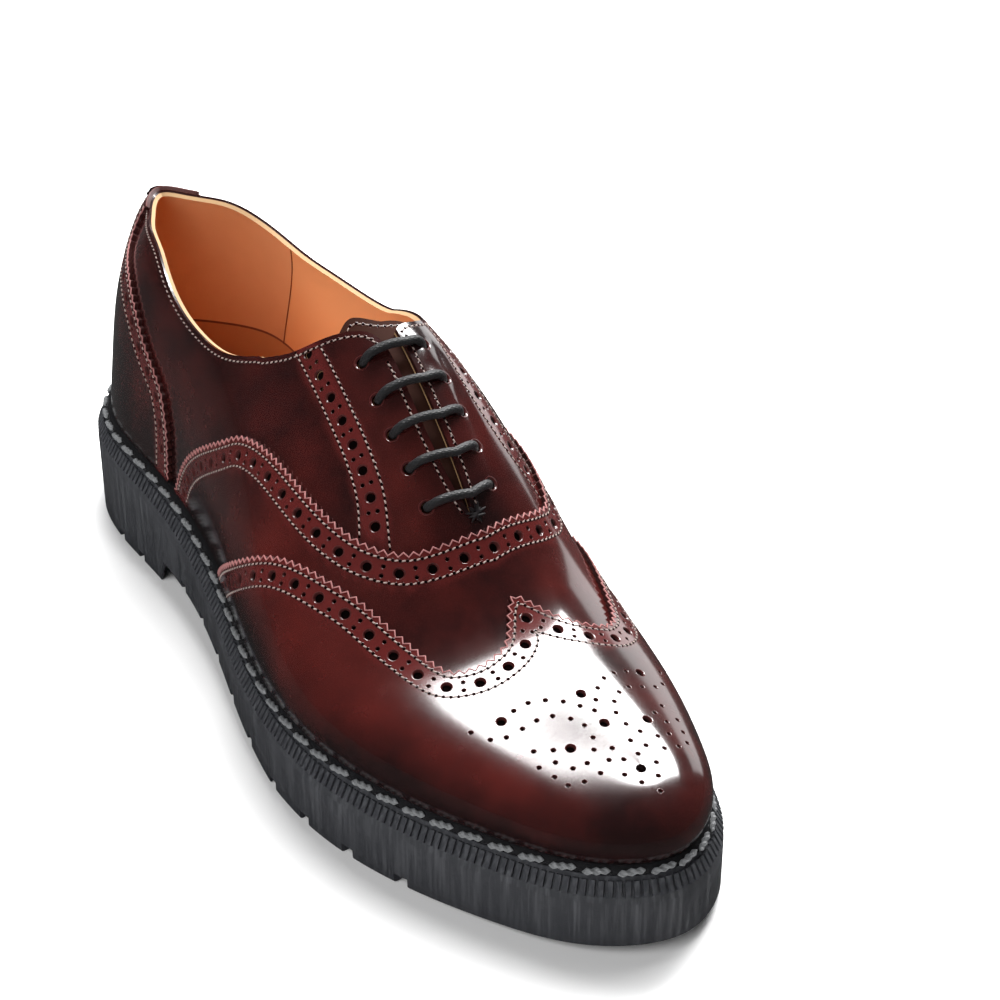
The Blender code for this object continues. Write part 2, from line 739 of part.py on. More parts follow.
def seam_half(rows, side):
    """One side of a seam, its points spread evenly from the feather to the ridge."""
    fine = np.linspace(rows["climb"][0], rows["climb"][-1], 400)
    place = column_spline(rows, "climb", side)(fine)
    run = np.r_[0, np.cumsum(np.hypot(np.diff(place) * PLACE_PER_CLIMB, np.diff(fine)))]
    even = np.linspace(0, run[-1], SEAM_STEPS)
    return np.interp(even, run, place), np.interp(even, run, fine)


def seam_line(rows, inset=0.0):
    """A seam in the pattern, from the outer feather over the ridge to the inner feather."""
    place, climb = seam_half(rows, "lateral")
    lateral = list(zip(place + inset, climb))
    place, climb = seam_half(rows, "medial")
    medial = list(zip(place + inset, 2 - climb))
    return lateral + medial[::-1][1:]


def build_knives(cutters):
    """Knives for the openings and for each overlay."""
    knives = {}
    fine = np.linspace(0, TOPLINE["place"][-1], SEAM_STEPS)
    lateral = column_spline(TOPLINE, "place", "lateral")(fine)
    medial = column_spline(TOPLINE, "place", "medial")(fine)
    opening = [(-0.1, lateral[0])] + list(zip(fine, lateral))
    opening += [(SLIT_TOP, 1 - SLIT_HALF), (SLIT_END, 1 - SLIT_HALF_END)]
    opening += [(SLIT_END, 1 + SLIT_HALF_END), (SLIT_TOP, 1 + SLIT_HALF)]
    opening += list(zip(fine, 2 - medial))[::-1] + [(-0.1, 2 - medial[0])]
    knives["opening"] = knife("opening_knife", opening, cutters)

    ahead = [(1.1, 2.05), (1.1, -0.05)]
    knives["vamp"] = knife("vamp_knife", seam_line(VAMP_SEAM) + ahead, cutters)
    wing = seam_line(WING_SEAM)
    knives["wing"] = knife("wing_knife", wing + ahead, cutters)
    hidden = seam_line(WING_SEAM, VAMP_UNDERLAP)
    knives["hidden"] = knife("hidden_knife", hidden + ahead, cutters)

    climb = np.linspace(COUNTER_SEAM["climb"][0], COUNTER_SEAM["climb"][-1], SEAM_STEPS)
    place = column_spline(COUNTER_SEAM, "climb", "place")(climb) - COUNTER_INSET
    half = [(-0.1, climb[0])] + list(zip(place, climb)) + [(-0.1, climb[-1])]
    knives["counter"] = knife("counter_knife", half, cutters)
    knives["counter_inner"] = knife("counter_inner_knife", [(x, 2 - y) for x, y in half], cutters)

    top = TOPLINE["lateral"][0]
    half = [(-0.1, top - TAB_BELOW), (TAB_PLACE, top - TAB_BELOW), (TAB_PLACE, 0.95), (-0.1, 0.95)]
    knives["tab"] = knife("tab_knife", half, cutters)
    knives["tab_inner"] = knife("tab_inner_knife", [(x, 2 - y) for x, y in half], cutters)

    tongue = [(TONGUE_TOP, TONGUE_SIDE), (TONGUE_END, TONGUE_SIDE)]
    tongue += [(TONGUE_END, 2 - TONGUE_SIDE), (TONGUE_TOP, 2 - TONGUE_SIDE)]
    knives["tongue"] = knife("tongue_knife", tongue, cutters)
    knives["eyelets"] = build_eyelet_knife(cutters)
    return knives


def eyelet_centres():
    """Pattern places of the eyelets: outer row, then inner row."""
    lateral = list(zip(EYELETS["place"], EYELETS["lateral"]))
    medial = list(zip(EYELETS["medial_place"], 2 - EYELETS["medial"]))
    return lateral, medial


def pattern_scale(x, y):
    """Metres of leather for each unit of the pattern's X and Y."""
    side = np.array([LATERAL if y <= 1 else MEDIAL])
    climb = y if y <= 1 else 2 - y
    step = 0.005
    ends = last_surface(side, np.array([x - step, x + step, x, x]),
                        np.array([climb, climb, climb - step, climb + step]))
    return np.linalg.norm(ends[1] - ends[0]) / (2 * step), np.linalg.norm(ends[3] - ends[2]) / (2 * step)


def build_eyelet_knife(cutters):
    """Ten punches, round on the lasted leather."""
    bm = bmesh.new()
    turn = np.arange(EYELET_SIDES) * 2 * np.pi / EYELET_SIDES
    for row in eyelet_centres():
        for x, y in row:
            per_x, per_y = pattern_scale(x, y)
            ring = np.c_[x + EYELET_RADIUS / per_x * np.cos(turn), y + EYELET_RADIUS / per_y * np.sin(turn)]
            low = [bm.verts.new((*p, -1)) for p in ring]
            high = [bm.verts.new((*p, 2)) for p in ring]
            bm.faces.new(low)
            bm.faces.new(high)
            for k in range(EYELET_SIDES):
                m = (k + 1) % EYELET_SIDES
                bm.faces.new((low[k], low[m], high[m], high[k]))
    return as_cutter(add_object("eyelet_punches", bm, None, cutters))


def build_leather(mats, group, cutters):
    knives = build_knives(cutters)
    opening = knives["opening"]
    leather("upper", UPPER_LIFT, UPPER_WALL, mats["leather"], group, cutters,
            remove=(opening, knives["eyelets"]))
    leather("vamp", VAMP_LIFT, OVERLAY_WALL, mats["leather"], group, cutters,
            keep=(knives["vamp"],), remove=(knives["hidden"],))
    leather("wing_cap", WING_LIFT, OVERLAY_WALL, mats["leather"], group, cutters, keep=(knives["wing"],))
    halves = merged("counter_knives", knives["counter"], knives["counter_inner"], cutters)
    leather("counter", COUNTER_LIFT, OVERLAY_WALL, mats["leather"], group, cutters,
            keep=(halves,), remove=(opening,))
    halves = merged("tab_knives", knives["tab"], knives["tab_inner"], cutters)
    leather("back_tab", TAB_LIFT, TAB_WALL, mats["leather"], group, cutters,
            keep=(halves,), remove=(opening,))
    leather("tongue", TONGUE_LIFT, TONGUE_WALL, mats["leather"], group, cutters, keep=(knives["tongue"],))
    for obj in list(cutters.objects):
        if obj.name != "tread_grooves":
            bpy.data.objects.remove(obj, do_unlink=True)


def merged(name, first, second, cutters):
    """One knife from two that lie apart."""
    bm = bmesh.new()
    for obj in (first, second):
        bm.from_mesh(obj.data)
    return as_cutter(add_object(name, bm, None, cutters))


# Lace
def build_lace(mat, group):
    """Five straight bars over the throat, each from its outer to its inner eyelet."""
    for number, (start, finish) in enumerate(zip(*eyelet_centres()), 1):
        share = np.linspace(0, 1, LACE_POINTS)[:, None]
        flat = np.array(start) * (1 - share) + np.array(finish) * share
        lift = LACE_RADIUS + LACE_CLEAR + UPPER_LIFT
        points = lasted(flat[:, 0], flat[:, 1], lift)
        curve = bpy.data.curves.new(f"lace_bar_{number}", "CURVE")
        curve.dimensions = "3D"
        curve.bevel_depth = LACE_RADIUS
        curve.bevel_resolution = 1
        curve.use_fill_caps = True
        line = curve.splines.new("POLY")
        line.points.add(LACE_POINTS - 1)
        for point, co in zip(line.points, points):
            point.co = (*co, 1)
        curve.materials.append(mat)
        group.objects.link(bpy.data.objects.new(f"lace_bar_{number}", curve))


def build():
    clear_scene()
    group = collection("brogue")
    cutters = collection("brogue_cutters")
    mats = {
        "leather": material("oxblood_leather", OXBLOOD),
        "rubber": material("black_rubber", BLACK_RUBBER),
        "lining": material("tan_lining", TAN_LINING),
        "cord": material("black_cord", BLACK_CORD),
    }
    build_outsole(mats["rubber"], group, cutters)
    build_welt(mats["rubber"], group)
    build_insole(mats["lining"], group)
    build_leather(mats, group, cutters)
    build_lace(mats["cord"], group)


build()
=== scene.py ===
# %% [markdown]
# # A wing-tip brogue, dressed
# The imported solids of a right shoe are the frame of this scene.  Each lesson below takes one thing
# that a shoemaker does, such as cutting, punching, lasting or stitching, and shows how Blender can do
# it.  The frame is loaded first, so that every piece can be set against the solids it stands for.

# %% Load the frame
import math

import bmesh
import bpy
import numpy as np
from mathutils import Matrix, Vector
from mathutils.kdtree import KDTree


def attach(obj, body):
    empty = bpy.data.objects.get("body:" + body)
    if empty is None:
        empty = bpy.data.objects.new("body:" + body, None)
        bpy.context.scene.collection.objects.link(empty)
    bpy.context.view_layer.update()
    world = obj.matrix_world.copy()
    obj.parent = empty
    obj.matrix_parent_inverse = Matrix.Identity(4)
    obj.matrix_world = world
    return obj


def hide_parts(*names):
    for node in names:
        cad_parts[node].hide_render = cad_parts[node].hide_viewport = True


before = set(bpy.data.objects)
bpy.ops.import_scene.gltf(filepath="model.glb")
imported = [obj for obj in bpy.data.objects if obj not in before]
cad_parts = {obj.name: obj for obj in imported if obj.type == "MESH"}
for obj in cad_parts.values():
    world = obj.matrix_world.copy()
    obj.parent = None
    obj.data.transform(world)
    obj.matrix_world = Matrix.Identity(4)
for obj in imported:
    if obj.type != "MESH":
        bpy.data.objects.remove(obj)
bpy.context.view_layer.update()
print("solids:", ", ".join(sorted(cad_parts)))

# %% [markdown]
# ## The last
# A shoe is pulled over a last, and every leather piece takes its shape.  The last could be sculpted,
# but then nothing could be cut on it by measure.  Here it is a function: a place along the sole's edge
# and a climb up the side give a point.  Its few sizes and short tables are those of the solids, so the
# dressed shoe and the solids agree.


# %% Sizes and sole tables
def table(names, *rows):
    """A short table with named columns, a row for each section."""
    return dict(zip(names.split(), np.array(rows, float).T))


LENGTH, BALL_WIDTH, INSTEP_HEIGHT, HEEL_HEIGHT = 0.306, 0.1014, 0.111, 0.0288
LATERAL, MEDIAL = -1, 1

# Sole edge: along in lengths, half widths in ball widths
OUTLINE = table(
    "along lateral medial",
    (0.03, 0.203, 0.201),
    (0.10, 0.331, 0.345),
    (0.25, 0.361, 0.337),
    (0.42, 0.419, 0.330),
    (0.58, 0.525, 0.420),
    (0.70, 0.536, 0.472),
    (0.80, 0.460, 0.440),
    (0.90, 0.321, 0.347),
    (0.965, 0.185, 0.237),
)
TOE_SWING = 0.052

# Height of the sole's widest line, in heel heights
SOLE_TOP = table(
    "along height",
    (0.0, 1.0),
    (0.25, 0.958),
    (0.5, 0.70),
    (0.7, 0.65),
    (0.85, 0.639),
    (1.0, 0.68),
)

# Underside: heel breast, arch, flat tread and toe spring
BREAST = 0.262
BREAST_SLANT = 0.010
ARCH_LIFT = 0.0082
ARCH_TOP = 0.34
TREAD_START = 0.63
TREAD_END = 0.74
TOE_SPRING = 0.0036

# Feather line, where upper and welt meet: inset from the widest line
FEATHER = table("along inset", (0.0, 0.0050), (0.2, 0.0050), (0.5, 0.0052), (1.0, 0.0056))
FEATHER_RISE = 0.0077

print("sole", LENGTH, "long and", BALL_WIDTH, "wide at the ball")


# %% Tables of the last
# Ridge of the last: along in lengths, swing in ball widths, height in instep heights
RIDGE = table(
    "along swing height",
    (0.111, 0.000, 1.009),
    (0.294, 0.030, 1.117),
    (0.441, 0.059, 1.090),
    (0.523, 0.075, 1.000),
    (0.588, 0.069, 0.887),
    (0.654, 0.059, 0.730),
    (0.725, 0.055, 0.545),
    (0.817, 0.051, 0.446),
    (0.882, 0.049, 0.405),
    (0.925, 0.047, 0.378),
)

# Sections of the last: bulge beyond the feather in ball widths, the rest as shares of reach and rise
SECTION_NAMES = "place bulge_out bulge_up shoulder_in shoulder_up"
LATERAL_SECTIONS = table(
    SECTION_NAMES,
    (0.00, -0.004, 0.26, 0.37, 0.86),
    (0.05, -0.014, 0.26, 0.46, 0.85),
    (0.10, -0.023, 0.26, 0.50, 0.84),
    (0.16, -0.021, 0.26, 0.41, 0.82),
    (0.25, -0.013, 0.26, 0.31, 0.78),
    (0.40, 0.006, 0.22, 0.40, 0.72),
    (0.52, 0.014, 0.22, 0.44, 0.74),
    (0.62, 0.018, 0.25, 0.45, 0.78),
    (0.72, 0.018, 0.30, 0.44, 0.82),
    (0.82, 0.016, 0.34, 0.42, 0.84),
    (0.92, 0.014, 0.36, 0.40, 0.85),
    (1.00, 0.013, 0.38, 0.40, 0.86),
)
MEDIAL_SECTIONS = table(
    SECTION_NAMES,
    (0.00, -0.004, 0.26, 0.37, 0.86),
    (0.05, -0.014, 0.26, 0.45, 0.85),
    (0.10, -0.022, 0.26, 0.50, 0.84),
    (0.16, -0.019, 0.26, 0.42, 0.82),
    (0.25, -0.012, 0.26, 0.28, 0.78),
    (0.40, 0.000, 0.24, 0.10, 0.77),
    (0.52, 0.022, 0.32, 0.08, 0.80),
    (0.62, 0.032, 0.30, 0.21, 0.80),
    (0.72, 0.012, 0.30, 0.35, 0.81),
    (0.82, 0.004, 0.34, 0.40, 0.83),
    (0.92, 0.006, 0.36, 0.40, 0.85),
    (1.00, 0.013, 0.38, 0.40, 0.86),
)

# %% Curves through rows
def spline(knots, values, start=None, end=None, loop=False):
    """Cubic spline through rows: natural ends, stated end slopes, or a closed loop."""
    knots = np.asarray(knots, float)
    values = np.asarray(values, float)
    count = len(knots)
    step = np.diff(knots)[:, None]
    slope = np.diff(values, axis=0) / step
    matrix = np.eye(count)
    right = np.zeros_like(values)
    for i in range(1, count - 1):
        matrix[i, i - 1:i + 2] = step[i - 1, 0], 2 * (step[i - 1, 0] + step[i, 0]), step[i, 0]
        right[i] = 6 * (slope[i] - slope[i - 1])
    if loop:
        matrix[0, [0, 1, -2]] = 2 * (step[0, 0] + step[-1, 0]), step[0, 0], step[-1, 0]
        right[0] = 6 * (slope[0] - slope[-1])
        matrix[-1, 0] = -1
    if start is not None:
        matrix[0, :2] = 2 * step[0, 0], step[0, 0]
        right[0] = 6 * (slope[0] - start)
    if end is not None:
        matrix[-1, -2:] = step[-1, 0], 2 * step[-1, 0]
        right[-1] = 6 * (end - slope[-1])
    bend = np.linalg.solve(matrix, right)

    def at(where):
        where = np.asarray(where, float)
        x = where.ravel()
        i = np.clip(np.searchsorted(knots, x, side="right") - 1, 0, count - 2)
        h = step[i]
        a = (knots[i + 1] - x)[:, None]
        b = (x - knots[i])[:, None]
        out = (bend[i] * a ** 3 + bend[i + 1] * b ** 3) / (6 * h)
        out += (values[i] / h - bend[i] * h / 6) * a
        out += (values[i + 1] / h - bend[i + 1] * h / 6) * b
        return out.reshape(where.shape + (-1,))

    return at


def column_spline(rows, key, name):
    """Spline of one column of a table against another."""
    curve = spline(rows[key], rows[name][:, None])
    return lambda where: curve(where)[..., 0]


# %% Sole edge
EDGE_STEPS, EDGE_KEEP = 1200, 8


def sole_edge():
    """Loop of (x, along, normal x, normal along) by place: 0 heel, 1 toe, 2 heel again."""
    lateral = np.c_[-OUTLINE["lateral"] * BALL_WIDTH, OUTLINE["along"] * LENGTH]
    medial = np.c_[OUTLINE["medial"] * BALL_WIDTH, OUTLINE["along"] * LENGTH][::-1]
    points = np.r_[[(0, 0)], lateral, [(TOE_SWING * BALL_WIDTH, LENGTH)], medial, [(0, 0)]]
    run = np.r_[0, np.cumsum(np.hypot(*np.diff(points, axis=0).T))]
    fine = np.linspace(0, run[-1], EDGE_STEPS + 1)
    edge = spline(run, points, loop=True)(fine)
    ahead = np.roll(edge[:-1], -1, axis=0) - np.roll(edge[:-1], 1, axis=0)
    ahead = np.r_[ahead, ahead[:1]]
    ahead /= np.linalg.norm(ahead, axis=1)[:, None]
    normal = np.c_[-ahead[:, 1], ahead[:, 0]]
    tip = int(np.argmax(edge[:, 1]))
    back = 1 + (fine[tip + 1:] - fine[tip]) / (fine[-1] - fine[tip])
    place = np.r_[fine[:tip + 1] / fine[tip], back]
    keep = np.unique(np.r_[np.arange(0, EDGE_STEPS + 1, EDGE_KEEP), tip])
    return spline(place[keep], np.c_[edge, normal][keep], loop=True), edge, run[-1]


EDGE, EDGE_POINTS, GIRTH = sole_edge()
MIDDLE_X = (EDGE_POINTS[:, 0].min() + EDGE_POINTS[:, 0].max()) / 2
MIDDLE_ALONG = (EDGE_POINTS[:, 1].min() + EDGE_POINTS[:, 1].max()) / 2
sole_top_height = column_spline(SOLE_TOP, "along", "height")


def edge_at(place):
    """Edge point, outward normal and share of the length at a place on the loop."""
    row = EDGE(np.mod(place, 2))
    normal = row[..., 2:] / np.linalg.norm(row[..., 2:], axis=-1, keepdims=True)
    return row[..., :2], normal, row[..., 1] / LENGTH


def widest_height(along):
    """Height of the sole's widest line."""
    return sole_top_height(np.clip(along, 0, 1)) * HEEL_HEIGHT


def ground(along):
    """Height of the underside: flat heel, breast, arch, flat tread, toe spring."""
    arch = ARCH_LIFT * np.cos(np.pi / 2 * np.clip((along - ARCH_TOP) / (TREAD_START - ARCH_TOP), 0, 1))
    breast = np.clip((along - BREAST) / BREAST_SLANT, 0, 1)
    spring = TOE_SPRING * np.clip((along - TREAD_END) / (1 - TREAD_END), 0, None) ** 2
    return arch * breast + spring


def to_world(points):
    """From (x, along, z) to the shoe's frame: toe at -Y, centred over its box."""
    points = np.asarray(points, float)
    return np.stack(
        [points[..., 0] - MIDDLE_X, MIDDLE_ALONG - points[..., 1], points[..., 2]], axis=-1)


# %% Surface of the last
def section_columns(rows):
    """Spline of all section columns, level at heel and toe so both sides meet smoothly."""
    names = SECTION_NAMES.split()[1:]
    return spline(rows["place"], np.stack([rows[n] for n in names], axis=1), start=0, end=0)


SECTIONS = {LATERAL: section_columns(LATERAL_SECTIONS), MEDIAL: section_columns(MEDIAL_SECTIONS)}
RIDGE_LINE = spline(
    RIDGE["along"] * LENGTH,
    np.c_[RIDGE["swing"] * BALL_WIDTH, RIDGE["along"] * LENGTH, RIDGE["height"] * INSTEP_HEIGHT])
RIDGE_BACK = RIDGE["along"][0] * LENGTH
RIDGE_FRONT = RIDGE["along"][-1] * LENGTH


def folded(side, place, climb):
    """Carry a place past the heel, toe or ridge over to the other side."""
    for past, new_place, new_climb in (
            (place < 0, -place, climb), (place > 1, 2 - place, climb), (climb > 1, place, 2 - climb)):
        side = np.where(past, -side, side)
        place = np.where(past, new_place, place)
        climb = np.where(past, new_climb, climb)
    return side, np.clip(place, 0, 1), climb


def ridge_at(place):
    """Ridge points and the ridge's pitch, crowded towards heel and toe."""
    along = RIDGE_BACK + (RIDGE_FRONT - RIDGE_BACK) * (1 - np.cos(np.pi * place)) / 2
    tiny = LENGTH * 1e-4
    pitch = (RIDGE_LINE(along + tiny) - RIDGE_LINE(along - tiny))[..., 2] / (2 * tiny)
    return RIDGE_LINE(along), pitch


def section_points(side, place):
    """Feather, bulge, shoulder and ridge points of the sections, and the way over the ridge."""
    edge, normal, along = edge_at(np.where(side < 0, place, 2 - place))
    inset = np.interp(along, FEATHER["along"], FEATHER["inset"])
    foot = np.c_[edge - normal * inset[:, None], widest_height(along) + FEATHER_RISE]
    crest, pitch = ridge_at(place)
    column = np.where(side[:, None] < 0, SECTIONS[LATERAL](place), SECTIONS[MEDIAL](place))
    reach = crest[:, :2] - foot[:, :2]
    rise = crest[:, 2] - foot[:, 2]
    bulge_xy = foot[:, :2] + normal * column[:, :1] * BALL_WIDTH
    bulge = np.c_[bulge_xy, foot[:, 2] + rise * column[:, 1]]
    shoulder = np.c_[foot[:, :2] + reach * column[:, 2:3], foot[:, 2] + rise * column[:, 3]]
    over = np.c_[reach, pitch * reach[:, 1]]
    over /= np.linalg.norm(over, axis=1, keepdims=True)
    return np.stack([foot, bulge, shoulder, crest], axis=1), over


def last_surface(side, place, climb):
    """Points of the last: a cubic through each section, level across the ridge."""
    side, place, climb = np.broadcast_arrays(
        np.asarray(side, float), np.asarray(place, float), np.asarray(climb, float))
    shape = place.shape
    side, place, climb = folded(side.ravel(), place.ravel(), climb.ravel())
    points, over = section_points(side, place)
    chord = np.linalg.norm(np.diff(points, axis=1), axis=2)
    total = chord.sum(axis=1, keepdims=True)
    h = chord / total
    knot = np.c_[np.zeros(len(place)), np.cumsum(h, axis=1)]
    slope = np.diff(points, axis=1) / h[:, :, None]
    matrix = np.zeros((len(place), 3, 3))
    right = np.zeros((len(place), 3, 3))
    matrix[:, 0, 0] = 2 * (h[:, 0] + h[:, 1])
    matrix[:, 0, 1] = matrix[:, 1, 0] = h[:, 1]
    matrix[:, 1, 1] = 2 * (h[:, 1] + h[:, 2])
    matrix[:, 1, 2] = matrix[:, 2, 1] = h[:, 2]
    matrix[:, 2, 2] = 2 * h[:, 2]
    right[:, 0] = 6 * (slope[:, 1] - slope[:, 0])
    right[:, 1] = 6 * (slope[:, 2] - slope[:, 1])
    right[:, 2] = 6 * (over * total - slope[:, 2])
    bend = np.concatenate([np.zeros((len(place), 1, 3)), np.linalg.solve(matrix, right)], axis=1)
    n = np.arange(len(place))
    i = (climb[:, None] >= knot[:, 1:3]).sum(axis=1)
    width = h[n, i][:, None]
    a = (knot[n, i + 1] - climb)[:, None]
    b = (climb - knot[n, i])[:, None]
    out = (bend[n, i] * a ** 3 + bend[n, i + 1] * b ** 3) / (6 * width)
    out += (points[n, i] / width - bend[n, i] * width / 6) * a
    out += (points[n, i + 1] / width - bend[n, i + 1] * width / 6) * b
    return out.reshape(shape + (3,))


def last_normal(side, place, climb):
    """Outward unit normal of the last; level at the feather line, square to the ridge on it."""
    du, dv = 0.004, 0.01
    du_vector = last_surface(side, place + du, climb) - last_surface(side, place - du, climb)
    low = np.maximum(climb - dv, 0)
    dv_vector = last_surface(side, place, climb + dv) - last_surface(side, place, low)
    normal = np.cross(du_vector, dv_vector) * np.asarray(side, float)[..., None]
    normal[..., 2] = np.where(climb <= 0, 0, normal[..., 2])
    pitch = ridge_at(place)[1]
    on_ridge = np.stack([0 * pitch, -pitch, 1 + 0 * pitch], axis=-1)
    normal = np.where((climb >= 1)[..., None], on_ridge, normal)
    return normal / np.linalg.norm(normal, axis=-1, keepdims=True)


# %% [markdown]
# ## The pattern
# A pattern cutter draws every edge on the last and peels the drawing off as flat shapes.  Here each seam
# is a short table: its place along the shoe at a few climbs up the side, for the outer and the inner
# side.  Every layer of leather has its own lift from the last, because an overlay lies on the one below.

# %% Pattern tables
# Leather layers: lift of the outer face from the last's surface, and thickness
UPPER_LIFT = -0.0013
UPPER_WALL = 0.0022
VAMP_LIFT = 0.0001
WING_LIFT = 0.0015
COUNTER_LIFT = 0.0001
OVERLAY_WALL = 0.00135
TAB_LIFT = 0.0013
TAB_WALL = 0.0009
TONGUE_LIFT = -0.0038
TONGUE_WALL = 0.0015

# Topline, as climb on each side, and the throat slit that ends it
TOPLINE = table(
    "place lateral medial",
    (0.000, 0.800, 0.800),
    (0.050, 0.806, 0.810),
    (0.100, 0.797, 0.812),
    (0.145, 0.772, 0.780),
    (0.190, 0.740, 0.708),
    (0.217, 0.710, 0.676),
    (0.273, 0.613, 0.650),
    (0.323, 0.575, 0.654),
    (0.365, 0.587, 0.657),
    (0.386, 0.612, 0.661),
    (0.417, 0.664, 0.684),
    (0.442, 0.728, 0.728),
    (0.474, 0.888, 0.820),
    (0.485, 0.960, 0.905),
)
SLIT_TOP = 0.491
SLIT_END = 0.617

# Seams: the place of each pattern edge at a climb
VAMP_SEAM = table(
    "climb lateral medial",
    (-0.05, 0.290, 0.290),
    (0.00, 0.297, 0.297),
    (0.14, 0.321, 0.319),
    (0.30, 0.370, 0.366),
    (0.42, 0.416, 0.411),
    (0.495, 0.456, 0.456),
    (0.525, 0.493, 0.515),
    (0.545, 0.529, 0.566),
    (0.565, 0.559, 0.600),
    (0.59, 0.584, 0.619),
    (0.64, 0.609, 0.628),
    (0.69, 0.621, 0.631),
    (0.77, 0.629, 0.633),
    (0.87, 0.632, 0.633),
    (1.00, 0.631, 0.631),
)
WING_SEAM = table(
    "climb lateral medial",
    (-0.05, 0.412, 0.440),
    (0.00, 0.423, 0.450),
    (0.21, 0.495, 0.548),
    (0.33, 0.536, 0.630),
    (0.418, 0.569, 0.704),
    (0.468, 0.596, 0.723),
    (0.50, 0.616, 0.727),
    (0.527, 0.635, 0.729),
    (0.544, 0.656, 0.7295),
    (0.560, 0.677, 0.7295),
    (0.577, 0.700, 0.729),
    (0.614, 0.717, 0.7275),
    (0.689, 0.722, 0.7225),
    (0.792, 0.718, 0.711),
    (0.888, 0.704, 0.694),
    (0.96, 0.682, 0.679),
    (1.00, 0.672, 0.672),
)
COUNTER_SEAM = table(
    "climb place",
    (-0.05, 0.286),
    (0.02, 0.285),
    (0.167, 0.286),
    (0.249, 0.281),
    (0.322, 0.270),
    (0.374, 0.252),
    (0.431, 0.234),
    (0.486, 0.219),
    (0.551, 0.195),
    (0.610, 0.163),
    (0.655, 0.126),
    (0.720, 0.095),
    (0.900, 0.080),
)
COUNTER_INSET = 0.004
VAMP_UNDERLAP = 0.030
TAB_PLACE = 0.022
TAB_BELOW = 0.075
TONGUE_END = 0.645
TONGUE_SIDE = 0.72

# Five pairs of eyelets
EYELETS = table(
    "place lateral medial_place medial",
    (0.506, 0.861, 0.514, 0.918),
    (0.534, 0.847, 0.541, 0.902),
    (0.559, 0.840, 0.565, 0.890),
    (0.583, 0.842, 0.588, 0.884),
    (0.608, 0.842, 0.611, 0.877),
)
EYELET_RADIUS = 0.0019
print("leather pieces lie", UPPER_LIFT, VAMP_LIFT, "and", WING_LIFT, "from the last")


# %% [markdown]
# ## A flat pattern and its lasted skin
# Leather is cut flat and then pulled over the last.  Here the flat pattern has the place along its X and
# the climb along its Y, from the outer feather over the ridge at 1 to the inner feather at 2, and
# `skin` pulls any of its points onto the last at a lift.  Where a lace pulls, the skin puckers, and where
# the foot bends, it creases: each of these is a soft trough, listed in the shoe's own sizes.


# %% Skin and puckers
PUCKERS = table(
    "x y along across depth",
    # beside the inner eyelets
    (0.524, 1.118, 0.0050, 0.0030, 0.00055),
    (0.531, 1.075, 0.0030, 0.0050, 0.00040),
    (0.551, 1.130, 0.0050, 0.0030, 0.00060),
    (0.557, 1.090, 0.0030, 0.0050, 0.00040),
    (0.574, 1.140, 0.0048, 0.0030, 0.00055),
    (0.579, 1.100, 0.0030, 0.0050, 0.00035),
    (0.597, 1.148, 0.0048, 0.0030, 0.00040),
    # beside the outer eyelets
    (0.519, 0.835, 0.0060, 0.0030, 0.00030),
    (0.546, 0.815, 0.0060, 0.0030, 0.00030),
    (0.571, 0.812, 0.0060, 0.0030, 0.00028),
    (0.595, 0.814, 0.0060, 0.0030, 0.00025),
    # across the vamp, in the bend behind the wing's peak, and at the rolled top of the facing
    (0.640, 0.800, 0.0060, 0.0250, 0.00035),
    (0.655, 1.180, 0.0060, 0.0250, 0.00035),
    (0.672, 0.930, 0.0200, 0.0400, 0.00180),
    (0.488, 1.030, 0.0080, 0.0120, 0.00080),
)
PLACE_METRES, CLIMB_METRES = 0.38, 0.115    # length of the pattern's two units on the shoe
SLACK = 0.00002                             # relief from which the normals follow the puckers


def sides(x, y):
    """Side, place and climb of pattern points; past heel or toe the other side goes on."""
    x, y = np.broadcast_arrays(np.asarray(x, float), np.asarray(y, float))
    past = (x < 0) | (x > 1)
    y = np.where(past, 2 - y, y)
    x = np.where(x < 0, -x, np.where(x > 1, 2 - x, x))
    return np.where(y <= 1, LATERAL, MEDIAL), x, np.where(y <= 1, y, 2 - y)


def relief(x, y):
    """Height of the puckers and soft creases at pattern points."""
    total = np.zeros(np.broadcast(x, y).shape)
    for px, py, along, across, depth in zip(*PUCKERS.values()):
        u = (x - px) * PLACE_METRES / along
        v = (y - py) * CLIMB_METRES / across
        total -= depth * np.exp(-u * u - v * v)
    return total


def skin(x, y, lift):
    """Pattern points pulled onto the last, in the shoe's frame."""
    side, place, climb = sides(x, y)
    point = last_surface(side, place, climb)
    normal = last_normal(side, place, climb)
    return to_world(point + normal * (lift + relief(x, y))[..., None])


def skin_normal(x, y, lift):
    """Outward normals of the lasted skin, tilted by the puckers."""
    side, place, climb = sides(x, y)
    plain = last_normal(side, place, climb) * (1, -1, 1)
    dx, dy = 0.002, 0.004
    low = np.clip(y - dy, 0, 2)
    high = np.clip(y + dy, 0, 2)
    bent = np.cross(skin(x + dx, y, lift) - skin(x - dx, y, lift),
                    skin(x, high, lift) - skin(x, low, lift))
    bent *= np.sign((bent * plain).sum(-1, keepdims=True))
    bent /= np.linalg.norm(bent, axis=-1, keepdims=True) + 1e-12
    slack = np.abs(relief(x + dx, y)) + np.abs(relief(x - dx, y))
    share = np.clip(slack / SLACK, 0, 1)[..., None]
    mixed = plain * (1 - share) + bent * share
    return mixed / np.linalg.norm(mixed, axis=-1, keepdims=True)


probe = skin(np.array([0.0, 0.5, 1.0]), np.array([0.5, 0.5, 0.5]), 0.0)
print("heel, waist and toe of the skin:", np.round(probe, 4).tolist())

